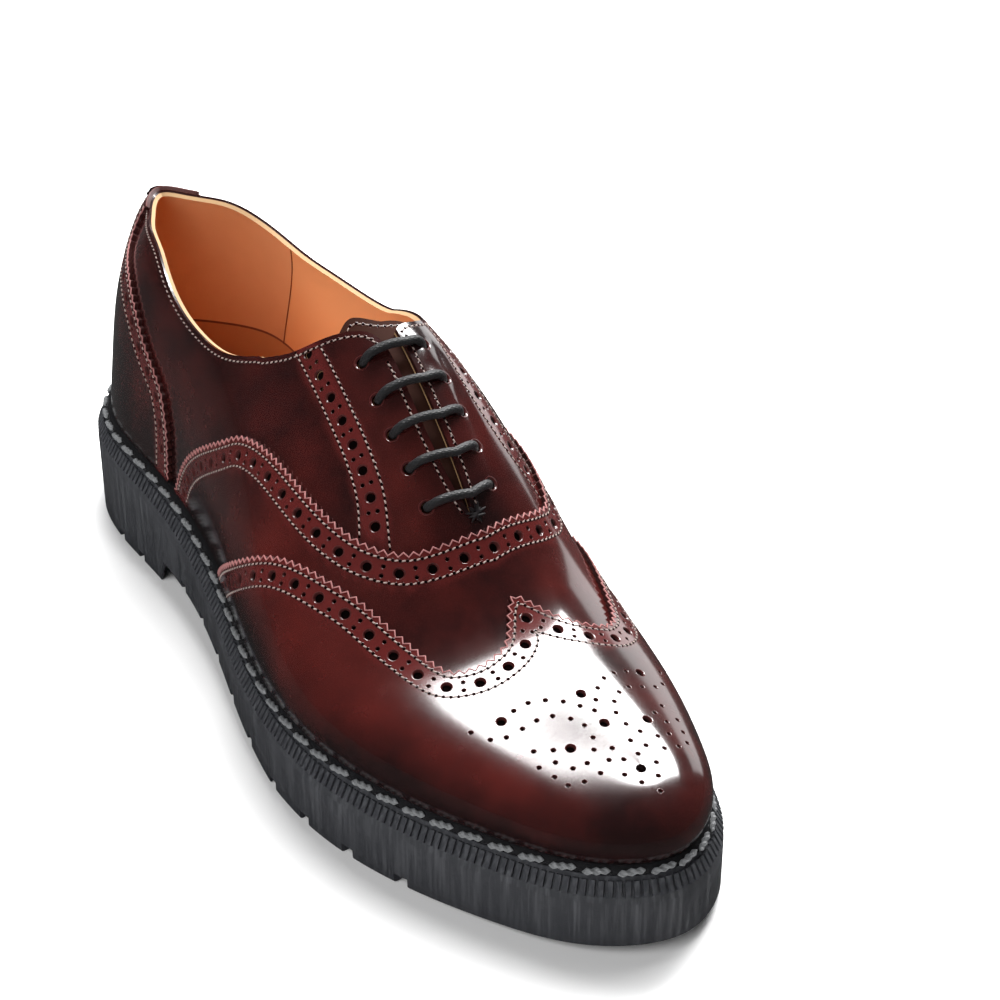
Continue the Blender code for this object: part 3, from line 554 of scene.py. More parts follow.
# %% [markdown]
# ## Paths on the skin
# Seams, rows of holes and rows of stitches all keep a fixed distance from a cut edge.  They could be
# drawn one by one, but then they would not stay parallel on a curved shoe.  `beside` moves a pattern
# path sideways by a distance measured on the leather itself, and `along_path` spreads points on it by
# length, so one seam table gives its edge, its holes and its stitches.


# %% Paths by measure
def run_of(points):
    """Length run at each point of a path."""
    return np.r_[0, np.cumsum(np.linalg.norm(np.diff(points, axis=0), axis=1))]


def at_runs(where, run, path):
    """Points of a path at some lengths of its run."""
    return np.c_[np.interp(where, run, path[:, 0]), np.interp(where, run, path[:, 1])]


def along_path(path, lift, pitch, start=0.0, finer=6):
    """Pattern points along a path, at a pitch in metres that is stretched to fit it."""
    path = np.asarray(path, float)
    fine = at_runs(np.linspace(0, len(path) - 1, len(path) * finer), np.arange(len(path)), path)
    run = run_of(skin(fine[:, 0], fine[:, 1], lift))
    count = max(int(round((run[-1] - 2 * start) / pitch)), 1)
    return at_runs(np.linspace(start, run[-1] - start, count + 1), run, fine)


def axes_on_skin(path, lift):
    """World points, steps ahead, normals and the pattern's own two steps along a path."""
    x, y = path[:, 0], path[:, 1]
    point = skin(x, y, lift)
    normal = skin_normal(x, y, lift)
    ahead = np.gradient(point, axis=0)
    ahead -= normal * (ahead * normal).sum(1, keepdims=True)
    ahead /= np.linalg.norm(ahead, axis=1, keepdims=True)
    step = 0.002
    per_x = (skin(x + step, y, lift) - skin(x - step, y, lift)) / (2 * step)
    low, high = np.maximum(y - step, 0), np.minimum(y + step, 2)
    per_y = (skin(x, high, lift) - skin(x, low, lift)) / (2 * step)
    return point, ahead, normal, per_x, per_y


def untangled(path):
    """A path with every loop cut off where it crosses itself."""
    kept = [path[0]]
    i = 0
    while i < len(path) - 1:
        a, b = path[i], path[i + 1]
        starts, ends = path[i + 2:-1], path[i + 3:]
        step, other = b - a, ends - starts
        cross = step[0] * other[:, 1] - step[1] * other[:, 0]
        cross = np.where(np.abs(cross) < 1e-15, 1e-15, cross)
        gap = starts - a
        on_this = (gap[:, 0] * other[:, 1] - gap[:, 1] * other[:, 0]) / cross
        on_other = (gap[:, 0] * step[1] - gap[:, 1] * step[0]) / cross
        met = np.where((on_this > 0) & (on_this < 1) & (on_other > 0) & (on_other < 1))[0]
        if len(met):
            kept.append(a + step * on_this[met[-1]])
            i += 2 + met[-1]
        kept.append(path[i + 1])
        i += 1
    return np.array(kept)


def beside(path, distance, lift=0.0, tidy=True, steps=4):
    """A path moved sideways on the leather: to the right of its run when positive."""
    path = np.asarray(path, float)
    _, ahead, normal, _, _ = axes_on_skin(path, lift)
    right = np.cross(ahead, normal)
    moved = path.copy()
    for _ in range(steps):
        _, _, _, per_x, per_y = axes_on_skin(moved, lift)
        push = right * distance / steps
        gram = np.stack([(per_x * per_x).sum(1), (per_x * per_y).sum(1), (per_y * per_y).sum(1)], 1)
        a, b = (per_x * push).sum(1), (per_y * push).sum(1)
        det = gram[:, 0] * gram[:, 2] - gram[:, 1] ** 2
        moved[:, 0] += (a * gram[:, 2] - b * gram[:, 1]) / det
        moved[:, 1] += (b * gram[:, 0] - a * gram[:, 1]) / det
    return untangled(moved) if tidy else moved


def on_leather(path, margin):
    """The run of a path between the feather edges, without its loose ends."""
    off = (path[:, 1] < margin) | (path[:, 1] > 2 - margin)
    half = len(path) // 2
    before, after = np.nonzero(off[:half])[0], np.nonzero(off[half:])[0]
    first = before[-1] + 1 if len(before) else 0
    end = half + after[0] if len(after) else len(path)
    return path[first:end]


def half_path(rows, side, steps=160):
    """One half of a seam, from its feather to the ridge, evenly spread."""
    fine = np.linspace(rows["climb"][0], rows["climb"][-1], 500)
    place = column_spline(rows, "climb", side)(fine)
    run = np.r_[0, np.cumsum(np.hypot(np.diff(place) * PLACE_METRES, np.diff(fine) * CLIMB_METRES))]
    even = np.linspace(0, run[-1], steps)
    x, climb = np.interp(even, run, place), np.interp(even, run, fine)
    keep = climb >= 0
    x, climb = x[keep], climb[keep]
    return np.c_[x, climb if side == "lateral" else 2 - climb]


def seam_beside(rows, distance, lift=0.0):
    """A whole seam moved into its panel; both halves are trimmed where they meet at the ridge."""
    lateral = half_path(rows, "lateral")
    medial = half_path(rows, "medial")
    if distance:
        lateral = beside(lateral, distance, lift)
        medial = beside(medial, -distance, lift)
    lateral = lateral[lateral[:, 1] <= 1.0]
    medial = medial[medial[:, 1] >= 1.0]
    middle = (lateral[-1] + medial[-1]) / 2
    middle[1] = 1.0
    return np.r_[lateral, [middle], medial[::-1]]


vamp_edge = seam_beside(VAMP_SEAM, 0.0)
wing_edge = seam_beside(WING_SEAM, 0.0)
print("points of vamp and wing seams:", len(vamp_edge), len(wing_edge))

# %% [markdown]
# ## Finishes
# The leather is a burnished oxblood: nearly black where the polish lies thick, redder on the crown of
# each panel and on the punched strips, under a hard clear shine, and painted darker beside the welt as
# painted shade.  A painted map would do it, but it would belong to one shoe only.  Noise in the shoe's
# own metres gives the clouds and the grain, and two numbers kept on the leather's points, `blush_and_shade`
# and `strip`, say where the red comes through and where the painted shade darkens it.


# %% Node helpers
def put(tree, kind, inputs=(), **settings):
    """A node with its settings and its inputs, each a value or a socket to link from."""
    made = tree.nodes.new(kind)
    for name, value in settings.items():
        setattr(made, name, value)
    for name, value in dict(inputs).items():
        if isinstance(value, bpy.types.NodeSocket):
            tree.links.new(value, made.inputs[name])
        else:
            made.inputs[name].default_value = value
    return made


def shader_group(name, inputs, outputs):
    """An empty shader group with its named inputs and outputs."""
    tree = bpy.data.node_groups.new(name, "ShaderNodeTree")
    for label, kind, value in inputs:
        tree.interface.new_socket(label, in_out="INPUT", socket_type=kind).default_value = value
    for label, kind in outputs:
        tree.interface.new_socket(label, in_out="OUTPUT", socket_type=kind)
    return tree, tree.nodes.new("NodeGroupInput"), tree.nodes.new("NodeGroupOutput")


def sums(tree, operation, *terms):
    """One step of arithmetic."""
    return put(tree, "ShaderNodeMath", dict(enumerate(terms)), operation=operation).outputs[0]


def colours(tree, factor, first, second):
    """Two colours mixed by a factor."""
    return put(tree, "ShaderNodeMix", {0: factor, 6: first, 7: second}, data_type="RGBA").outputs[2]


def noise(tree, where, scale, detail=3.0, roughness=0.5):
    """Noise in the shoe's own metres."""
    return put(tree, "ShaderNodeTexNoise", {"Vector": where, "Scale": scale, "Detail": detail,
                                            "Roughness": roughness}).outputs[0]


def spread(tree, value, low, high, to_low=0.0, to_high=1.0):
    """A value spread from one range to another, held at both ends."""
    return put(tree, "ShaderNodeMapRange", {0: value, 1: low, 2: high, 3: to_low, 4: to_high}).outputs[0]


def in_metres(tree):
    """The object's own coordinates, which are metres here."""
    return put(tree, "ShaderNodeTexCoord").outputs["Object"]


def stored(tree, name):
    """A number kept on the points of a piece."""
    return put(tree, "ShaderNodeAttribute", attribute_name=name).outputs["Fac"]


def material(name, **values):
    """A material, its tree and its surface; inputs are set by name, spaces written as underscores."""
    made = bpy.data.materials.new(name)
    made.use_nodes = True
    surface = made.node_tree.nodes["Principled BSDF"]
    for key, value in values.items():
        surface.inputs[key.replace("_", " ").title().replace("Ior", "IOR")].default_value = value
    return made, made.node_tree, surface


def plain(name, **values):
    """A material of one colour and gloss."""
    return material(name, **values)[0]


def feed(tree, surface, **sockets):
    """Link sockets to inputs of a surface, by name with underscores for spaces."""
    for name, socket in sockets.items():
        tree.links.new(socket, surface.inputs[name.replace("_", " ")])


def bumped(tree, surface, height, distance, coat=True):
    """Feed a height into the surface as a bump."""
    bump = put(tree, "ShaderNodeBump", {"Height": height, "Strength": 1.0, "Distance": distance})
    tree.links.new(bump.outputs[0], surface.inputs["Normal"])
    if coat:
        tree.links.new(bump.outputs[0], surface.inputs["Coat Normal"])


print("node kinds ready")

# %% Burnish and grain groups
NUMBER, COLOUR = "NodeSocketFloat", "NodeSocketColor"
DEEP = (0.0105, 0.0030, 0.0031, 1)
OXBLOOD = (0.074, 0.0098, 0.0080, 1)
STRIP_RED = (0.088, 0.0120, 0.0112, 1)
STRIP_SHARE = 0.8                           # how far the punched strips take their own red
CLOUD_SWAY, MOTTLE_SWAY = 0.34, 0.025       # how far the noise moves the blush

burnish, given, sent = shader_group(
    "burnish",
    [("Blush_And_Shade", NUMBER, 0.4), ("Strip", NUMBER, 0.0), ("Deep", COLOUR, DEEP), ("Red", COLOUR, OXBLOOD),
     ("Strip Red", COLOUR, STRIP_RED)],
    [("Color", COLOUR), ("Roughness", NUMBER)])
where = in_metres(burnish)
clouds = noise(burnish, where, 38.0, 4.0, 0.55)
mottle = noise(burnish, where, 210.0, 3.0, 0.5)
drift = spread(burnish, clouds, 0.30, 0.72, -CLOUD_SWAY, CLOUD_SWAY)
speckle = spread(burnish, mottle, 0.3, 0.7, -MOTTLE_SWAY, MOTTLE_SWAY)
red = sums(burnish, "MULTIPLY_ADD", drift, 1.0, given.outputs["Blush_And_Shade"])
red = sums(burnish, "MULTIPLY_ADD", speckle, 1.0, red)
red = put(burnish, "ShaderNodeClamp", {"Value": red}).outputs[0]
body = colours(burnish, red, given.outputs["Deep"], given.outputs["Red"])
on_strip = sums(burnish, "MULTIPLY", given.outputs["Strip"], STRIP_SHARE)
body = colours(burnish, on_strip, body, given.outputs["Strip Red"])
burnish.links.new(body, sent.inputs["Color"])
burnish.links.new(spread(burnish, mottle, 0.3, 0.75, 0.20, 0.30), sent.inputs["Roughness"])

grain, given, sent = shader_group(
    "grain", [("Fine", NUMBER, 1500.0), ("Broad", NUMBER, 300.0)], [("Height", NUMBER)])
where = in_metres(grain)
fine = noise(grain, where, given.outputs["Fine"], 2.0)
broad = noise(grain, where, given.outputs["Broad"], 3.0)
grain.links.new(sums(grain, "MULTIPLY_ADD", broad, 1.6, fine), sent.inputs["Height"])
print("groups:", burnish.name, "and", grain.name)

# %% Leather and cut edges
SHINE = dict(Coat_Weight=1.0, Coat_Roughness=0.12, Coat_IOR=1.75)
GRAIN_DEEP = 0.0000018
leather_mat, tree, surface = material("oxblood_leather", Specular_IOR_Level=0.1, **SHINE)
look = put(tree, "ShaderNodeGroup", node_tree=burnish)
tree.links.new(stored(tree, "blush_and_shade"), look.inputs["Blush_And_Shade"])
tree.links.new(stored(tree, "strip"), look.inputs["Strip"])
feed(tree, surface, Base_Color=look.outputs["Color"], Roughness=look.outputs["Roughness"])
bumped(tree, surface, put(tree, "ShaderNodeGroup", node_tree=grain).outputs[0], GRAIN_DEEP)


def ply_material(name, from_ply, below, above):
    """A cut wall that changes its colour towards the grain side of the leather."""
    made, tree, surface = material(name, Roughness=0.5)
    near_grain = spread(tree, stored(tree, "ply"), from_ply, 1.0)
    feed(tree, surface, Base_Color=colours(tree, near_grain, below, above))
    return made


# Cut edges are raw and pinkish near the grain side; the wall of a hole is painted darker in its depth, as
# painted shade
raw_mat = ply_material("raw_edge", 0.70, (0.045, 0.012, 0.011, 1), (0.15, 0.050, 0.047, 1))
hole_wall_shade_mat = ply_material("hole_wall_painted_shade", 0.60, (0.003, 0.0015, 0.0015, 1), (0.040, 0.008, 0.007, 1))
# Painted shade: near black for the floors of blind holes, for the needle holes and for the hole at the toe's
# tip
hole_shade_mat = plain("painted_hole_shade", Roughness=0.9, Base_Color=(0.003, 0.0016, 0.0016, 1), Specular_IOR_Level=0.0)
pressed_mat = plain("pressed_lip", Roughness=0.3, Base_Color=(0.060, 0.011, 0.010, 1), **SHINE)
tongue_mat = plain("tongue_leather", Roughness=0.8, Base_Color=(0.030, 0.011, 0.0075, 1),
                   Specular_IOR_Level=0.1)
pinked_mat = plain("pinked_line", Roughness=0.6, Base_Color=(0.31, 0.125, 0.120, 1))
print("leather materials:", leather_mat.name, raw_mat.name, hole_wall_shade_mat.name, pressed_mat.name)

# %% Rim and lining
RIM_SOFT = 0.03
CUT_LINING, FOLDED_LEATHER = (0.42, 0.27, 0.14, 1), (0.020, 0.005, 0.005, 1)


def rim_material(name, share):
    """Rim of the upper: the lining's cut edge up to a share of the wall, folded leather beyond."""
    made, tree, surface = material(name, Coat_Weight=0.6, Coat_Roughness=0.1)
    where = spread(tree, stored(tree, "ply"), share - RIM_SOFT, share + RIM_SOFT)
    feed(tree, surface, Base_Color=colours(tree, where, CUT_LINING, FOLDED_LEATHER),
         Roughness=spread(tree, where, 0, 1, 0.75, 0.25), Coat_Weight=where)
    return made


rim_mat, slit_mat = rim_material("rim", 0.60), rim_material("slit_edge", 0.30)

# Lining: a front part beyond a slanting seam, painted lighter as painted light, and a sock below a dark line
# of painted shade
FRONT_SLANT, FRONT_FROM, FRONT_TO = 0.124, 0.4168, 0.4188
SOCK_FROM, SOCK_SHADE_LINE, SOCK_TO, SOCK_SHADE_HALF = 1.824, 1.825, 1.828, 0.005
lining_mat, tree, surface = material("tan_lining", Roughness=0.6)
where = in_metres(tree)
clouds = spread(tree, noise(tree, where, 30.0, 4.0), 0.3, 0.7)
tan = colours(tree, clouds, (0.64, 0.305, 0.145, 1), (0.70, 0.345, 0.170, 1))
place, climb = stored(tree, "place"), stored(tree, "climb")
# Painted light: the front part beyond the slanting seam is lighter
front = spread(tree, sums(tree, "MULTIPLY_ADD", climb, FRONT_SLANT, place), FRONT_FROM, FRONT_TO)
tan = colours(tree, front, tan, (0.76, 0.365, 0.165, 1))
tan = colours(tree, spread(tree, climb, SOCK_FROM, SOCK_TO), tan, (0.50, 0.215, 0.090, 1))
# Painted shade: a dark line along the sock's edge
tan = colours(tree, sums(tree, "COMPARE", climb, SOCK_SHADE_LINE, SOCK_SHADE_HALF), tan, (0.16, 0.060, 0.025, 1))
feed(tree, surface, Base_Color=tan)
bumped(tree, surface, noise(tree, where, 1500.0, 2.0), 0.00002, coat=False)
print("rim and lining materials:", rim_mat.name, slit_mat.name, lining_mat.name)

# %% [markdown]
# ## Thread, cord and rubber
# Pale thread, grey welt thread and a waxed black lace catch the light in their own ways.  The lace's weave
# could be modelled strand by strand, but at its size two crossing waves in its bump do the same.  The
# rubber is scraped from the mould, so its noise is drawn out along the height.

# %% Thread, cord and rubber materials
thread_mat = plain("pale_thread", Roughness=0.6, Base_Color=(0.31, 0.245, 0.22, 1))
dark_thread_mat = plain("black_thread", Roughness=0.5, Base_Color=(0.012, 0.010, 0.011, 1))
welt_thread_mat = plain("grey_thread", Roughness=0.45, Base_Color=(0.16, 0.165, 0.17, 1))
brown_mat = plain("brown_thread", Roughness=0.6, Base_Color=(0.16, 0.045, 0.015, 1))

woven, given, sent = shader_group(
    "woven_cord", [("Strands", NUMBER, 9.0), ("Pitch", NUMBER, 0.0016)], [("Height", NUMBER)])
parts = put(woven, "ShaderNodeSeparateXYZ", {0: put(woven, "ShaderNodeTexCoord").outputs["UV"]})
strands = sums(woven, "MULTIPLY", parts.outputs[0], given.outputs["Strands"])
pitches = sums(woven, "DIVIDE", parts.outputs[1], given.outputs["Pitch"])
round_turn, run_turn = (sums(woven, "MULTIPLY", count, 2 * math.pi) for count in (strands, pitches))
left = sums(woven, "SINE", sums(woven, "ADD", round_turn, run_turn))
right = sums(woven, "SINE", sums(woven, "SUBTRACT", round_turn, run_turn))
woven.links.new(sums(woven, "MAXIMUM", left, right), sent.inputs["Height"])

cord_mat, tree, surface = material("black_cord", Roughness=0.46, Base_Color=(0.017, 0.017, 0.018, 1))
bumped(tree, surface, put(tree, "ShaderNodeGroup", node_tree=woven).outputs[0], 0.00005, coat=False)

rubber_mat, tree, surface = material("black_rubber")
SCRAPED = (900.0, 900.0, 40.0)
streak = put(tree, "ShaderNodeMapping", {"Vector": in_metres(tree), "Scale": SCRAPED}).outputs[0]
scratch = noise(tree, streak, 1.0, 2.0)
grey = colours(tree, spread(tree, scratch, 0.45, 0.8), (0.034, 0.0355, 0.0405, 1), (0.070, 0.0725, 0.080, 1))
feed(tree, surface, Roughness=spread(tree, scratch, 0.35, 0.75, 0.34, 0.62), Base_Color=grey)
bumped(tree, surface, scratch, 0.00006, coat=False)

welt_mat, tree, surface = material(
    "polished_welt", Roughness=0.26, Base_Color=(0.010, 0.010, 0.011, 1),
    Coat_Weight=0.4, Coat_Roughness=0.12)
bumped(tree, surface, noise(tree, in_metres(tree), 900.0, 2.0), 0.00002)
print("thread, cord and rubber:", thread_mat.name, cord_mat.name, rubber_mat.name, welt_mat.name)

# %% [markdown]
# ## Studio
# The shoe stands on white paper under one long soft light, which leaves the broad white shine on the toe,
# and a small low one glances along the inner side.  Area lights stand for the soft boxes.  Two more only
# brighten the leather and leave no reflection, as a bounced light would, and the paper is dark to
# reflections, as a black card beside the shoe would make it.  The camera has the photo's angle, found by
# laying the sole's outline over it.

# %% Floor and sky
FLOOR_REACH = 1.8
scene = bpy.context.scene
scene.view_settings.view_transform = "Standard"
floor_mat, tree, surface = material("white_paper", Roughness=0.95, Specular_IOR_Level=0.0)
seen = put(tree, "ShaderNodeLightPath").outputs["Is Glossy Ray"]
feed(tree, surface, Base_Color=colours(tree, seen, (0.93, 0.93, 0.93, 1), (0.02, 0.02, 0.02, 1)))
floor_mesh = bpy.data.meshes.new("floor")
corners = [(x * FLOOR_REACH, y * FLOOR_REACH, 0) for x, y in ((-1, -1), (1, -1), (1, 1), (-1, 1))]
floor_mesh.from_pydata(corners, [], [(0, 1, 2, 3)])
floor_mesh.materials.append(floor_mat)
floor = bpy.data.objects.new("floor", floor_mesh)
scene.collection.objects.link(floor)

SKY_GLOW, SKY_SEEN = 0.03, 1.0              # strength for the light it gives, and to the camera
world = bpy.data.worlds.new("studio")
world.use_nodes = True
sky = world.node_tree
background = sky.nodes["Background"]
background.inputs["Color"].default_value = (1, 1, 1, 1)
straight = put(sky, "ShaderNodeLightPath").outputs["Is Camera Ray"]
sky.links.new(spread(sky, straight, 0.0, 1.0, SKY_GLOW, SKY_SEEN), background.inputs["Strength"])
scene.world = world
print("floor reaches", FLOOR_REACH, "m each way")


# %% Lights and camera
def soft_box(name, toward, distance, along, width, height, watts, shine=True):
    """An area light in a direction from the shoe, facing it; without shine it leaves no reflection."""
    data = bpy.data.lights.new(name, "AREA")
    data.shape = "RECTANGLE"
    data.size, data.size_y = width, height
    data.energy = watts
    lamp = bpy.data.objects.new(name, data)
    way = Vector(toward).normalized()
    wide = Vector(along)
    wide = (wide - way * wide.dot(way)).normalized()
    tall = way.cross(wide)
    lamp.rotation_euler = Matrix((wide, tall, way)).transposed().to_euler()
    lamp.location = way * distance
    lamp.visible_glossy = shine
    scene.collection.objects.link(lamp)


ABOVE = (0.439, 0.336, 0.833)               # over the heel, a little to the inner side
soft_box("top_light", ABOVE, 1.3, (0.048, -0.935, 0.352), width=0.29, height=1.28, watts=32.0)
soft_box("high_fill", ABOVE, 1.5, (1, 0, 0), width=1.2, height=1.2, watts=33.0, shine=False)
soft_box("low_light", (0.88, 0.42, 0.14), 1.7, (0, 1, 0), width=0.9, height=0.5, watts=2.4)
soft_box("fill_light", (-0.75, -0.25, 0.60), 1.6, (0, 1, 0), width=1.6, height=1.6, watts=22.0, shine=False)

CAMERA_TURN, CAMERA_RISE, CAMERA_FAR = -32.01, 31.36, 0.6993
CAMERA_SENSOR, CAMERA_LENS = 36.0, 84.26
CAMERA_TARGET = Vector((0.041556 - MIDDLE_X, -0.00512, 0.045))
turn, rise = math.radians(CAMERA_TURN), math.radians(CAMERA_RISE)
back = Vector((math.sin(turn) * math.cos(rise), -math.cos(turn) * math.cos(rise), math.sin(rise)))
camera_data = bpy.data.cameras.new("camera")
camera_data.sensor_width, camera_data.lens = CAMERA_SENSOR, CAMERA_LENS
camera_data.clip_start = 0.01
camera = bpy.data.objects.new("camera", camera_data)
camera.location = CAMERA_TARGET + back * CAMERA_FAR
camera.rotation_euler = back.to_track_quat("Z", "Y").to_euler()
scene.collection.objects.link(camera)
scene.camera = camera
print("camera at", [round(v, 4) for v in camera.location])

# %% [markdown]
# ## Cutting, punching and lasting
# A clicker cuts the panel from a flat hide with a knife, a punch makes the brogue holes, and the
# panel is then pulled over the last.  The same order works here: a flat slab is cut with prisms, a
# Geometry Nodes tree drives a tapered punch through every marked point, and the slab is wrapped onto the
# last.  The normals of its faces are taken from the last itself, so that the shine stays smooth
# across the cuts.


# %% Mesh helpers
def as_object(name, verts, faces, finish=None, edges=(), shown=True):
    """A mesh object from plain lists, linked to the scene; tools and small shapes are not shown."""
    mesh = bpy.data.meshes.new(name)
    mesh.from_pydata(np.asarray(verts).tolist(), list(edges), [list(map(int, f)) for f in faces])
    mesh.update()
    if finish is not None:
        mesh.materials.append(finish)
    made = bpy.data.objects.new(name, mesh)
    made.hide_render = not shown
    scene.collection.objects.link(made)
    return made


def ring_quads(rings, around, loop=False):
    """Quads between rings of points; a loop also joins the last ring to the first."""
    pairs = [(i, i + 1) for i in range(rings - 1)] + ([(rings - 1, 0)] if loop else [])
    k = np.arange(around)
    m = (k + 1) % around
    quads = [np.stack([low * around + k, low * around + m, high * around + m, high * around + k], -1)
             for low, high in pairs]
    return np.concatenate(quads).tolist()


def caps(rings, around):
    """Faces that close the first ring and the last."""
    first = list(range(around))
    return [first[::-1], [(rings - 1) * around + k for k in first]]


def face_outward(made):
    """Turn the faces of a closed shape outward."""
    bm = bmesh.new()
    bm.from_mesh(made.data)
    bmesh.ops.recalc_face_normals(bm, faces=bm.faces[:])
    bm.to_mesh(made.data)
    bm.free()


def shade_smooth(made, corners=None):
    """Shade all faces smooth, or only those with so many corners."""
    faces = made.data.polygons
    faces.foreach_set("use_smooth", [corners in (None, len(f.vertices)) for f in faces])


def drop(*owners):
    """Remove tools once they have been used."""
    for owner in owners:
        mesh = owner.data
        bpy.data.objects.remove(owner, do_unlink=True)
        bpy.data.meshes.remove(mesh)


def finish_piece(owner, slot, *nodes):
    """Let a piece ride on the shoe and stand for its solids; the slot is not used."""
    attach(owner, "root")
    if nodes:
        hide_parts(*nodes)
    owner.data.calc_loop_triangles()
    print(owner.name, "has", len(owner.data.loop_triangles), "triangles")


print("a ring of 4 has quads", ring_quads(2, 4))


# %% Geometry trees
def geometry_tree(name, inputs):
    """A geometry tree with a geometry in and out and named inputs between."""
    tree = bpy.data.node_groups.new(name, "GeometryNodeTree")
    tree.interface.new_socket("Geometry", in_out="INPUT", socket_type="NodeSocketGeometry")
    for label, kind in inputs:
        tree.interface.new_socket(label, in_out="INPUT", socket_type=kind)
    tree.interface.new_socket("Geometry", in_out="OUTPUT", socket_type="NodeSocketGeometry")
    return tree, tree.nodes.new("NodeGroupInput"), tree.nodes.new("NodeGroupOutput")


def named(tree, name):
    """Vectors kept on the points of the geometry."""
    return put(tree, "GeometryNodeInputNamedAttribute", {"Name": name}, data_type="FLOAT_VECTOR").outputs[0]


def send_out(tree, geometry, given, sent):
    """End a tree: give the geometry its finish and send it out."""
    coloured = put(tree, "GeometryNodeSetMaterial", {
        "Geometry": geometry, "Material": given.outputs["Finish"]})
    tree.links.new(coloured.outputs[0], sent.inputs[0])


def keep_vectors(made, **columns):
    """Keep vectors on the points of a mesh, one for all points or one for each."""
    for name, rows in columns.items():
        rows = np.broadcast_to(np.asarray(rows, float), (len(made.data.vertices), 3))
        column = made.data.attributes.new(name, "FLOAT_VECTOR", "POINT")
        column.data.foreach_set("vector", np.ascontiguousarray(rows).ravel())


def apply_tree(owner, tree, **values):
    """Put a tree on an object with its inputs set by socket identifier."""
    step = owner.modifiers.new(tree.name, "NODES")
    step.node_group = tree
    for item in tree.interface.items_tree:
        if item.item_type == "SOCKET" and item.in_out == "INPUT" and item.name in values:
            step[item.identifier] = values[item.name]


def settled(owner):
    """Replace an object's mesh with its evaluated one, and drop the modifiers."""
    bpy.context.view_layer.update()
    graph = bpy.context.evaluated_depsgraph_get()
    mesh = bpy.data.meshes.new_from_object(owner.evaluated_get(graph), preserve_all_data_layers=True,
                                           depsgraph=graph)
    old = owner.data
    owner.modifiers.clear()
    owner.data = mesh
    bpy.data.meshes.remove(old)
    return owner


print("trees can be built and settled")

# %% Knives and blanks
KNIFE_FROM, KNIFE_TO = -1.0, 2.0            # a slab lies between 0 and 1


def blank(name, x_low, x_high, cell_x=1 / 150, cell_y=1 / 46):
    """A flat slab of the pattern between two places, one unit thick."""
    xs = np.linspace(x_low, x_high, int(round((x_high - x_low) / cell_x)) + 1)
    ys = np.linspace(0, 2, int(round(2 / cell_y)) + 1)
    n, m = len(xs), len(ys)
    gx, gy = np.meshgrid(xs, ys, indexing="ij")
    low = np.c_[gx.ravel(), gy.ravel(), np.zeros(n * m)]
    verts = np.r_[low, low + (0, 0, 1)]
    index = np.arange(n * m).reshape(n, m)
    a, b, c, d = index[:-1, :-1], index[1:, :-1], index[1:, 1:], index[:-1, 1:]
    top = np.stack([a, b, c, d], -1).reshape(-1, 4) + n * m
    bottom = np.stack([d, c, b, a], -1).reshape(-1, 4)
    rim = np.r_[index[:, 0], index[-1, 1:], index[-2::-1, -1], index[0, -2:0:-1]]
    after = np.roll(rim, -1)
    wall = np.stack([rim, after, after + n * m, rim + n * m], -1)
    return as_object(name, verts, np.r_[top, bottom, wall])


def prism(name, *outlines):
    """A knife: outlines in the pattern's plane raised into prisms."""
    verts, faces = [], []
    for outline in outlines:
        outline = np.asarray(outline, float)
        after = np.roll(outline, -1, axis=0)
        if np.sum(outline[:, 0] * after[:, 1] - outline[:, 1] * after[:, 0]) < 0:
            outline = outline[::-1]
        base, n = len(verts), len(outline)
        verts += [(x, y, z) for z in (KNIFE_FROM, KNIFE_TO) for x, y in outline]
        faces += [[base + i for i in face] for face in caps(2, n) + ring_quads(2, n)]
    return as_object(name, verts, faces, shown=False)


def trim(panel, knife, operation):
    """Cut a slab with a knife."""
    step = panel.modifiers.new(knife.name, "BOOLEAN")
    step.solver = "EXACT"
    step.operation = operation
    step.object = knife


def gimped(edge, lift, pitch=0.0028, depth=0.0013):
    """A seam pinked into teeth, half outside and half inside its line."""
    points = along_path(edge, lift, pitch / 2)
    outside = beside(points, -depth / 2, lift, tidy=False)
    inside = beside(points, depth / 2, lift, tidy=False)
    count = (len(points) - 1) // 2 * 2 + 1
    tip = (np.arange(count) % 2 == 0)[:, None]
    return np.where(tip, outside[:count], inside[:count])


vamp_teeth, wing_teeth = gimped(vamp_edge, VAMP_LIFT), gimped(wing_edge, WING_LIFT)
print("points of the pinked vamp and wing:", len(vamp_teeth), len(wing_teeth))

# %% Punch tree
PUNCH_TOP, PUNCH_FOOT, PUNCH_PAST = 1.06, 0.72, 1.18    # taper of the punch, and its reach past the slab
punch_tree, given, sent = geometry_tree(
    "punch_holes",
    [("Punches", "NodeSocketObject"), ("Sides", "NodeSocketInt"), ("Finish", "NodeSocketMaterial")])
cone = put(punch_tree, "GeometryNodeMeshCone", {
    "Vertices": given.outputs["Sides"], "Radius Top": PUNCH_TOP, "Radius Bottom": PUNCH_FOOT, "Depth": 1.0})
marks = put(punch_tree, "GeometryNodeObjectInfo", {"Object": given.outputs["Punches"]})
held = put(punch_tree, "GeometryNodeInstanceOnPoints", {
    "Points": marks.outputs["Geometry"], "Instance": cone.outputs["Mesh"],
    "Rotation": named(punch_tree, "turn"), "Scale": named(punch_tree, "size")})
real = put(punch_tree, "GeometryNodeRealizeInstances", {"Geometry": held.outputs[0]})
driven = put(punch_tree, "GeometryNodeMeshBoolean", {
    "Mesh 1": given.outputs["Geometry"], "Mesh 2": real.outputs[0], "Self Intersection": True},
             operation="DIFFERENCE", solver="EXACT")
send_out(punch_tree, driven.outputs["Mesh"], given, sent)


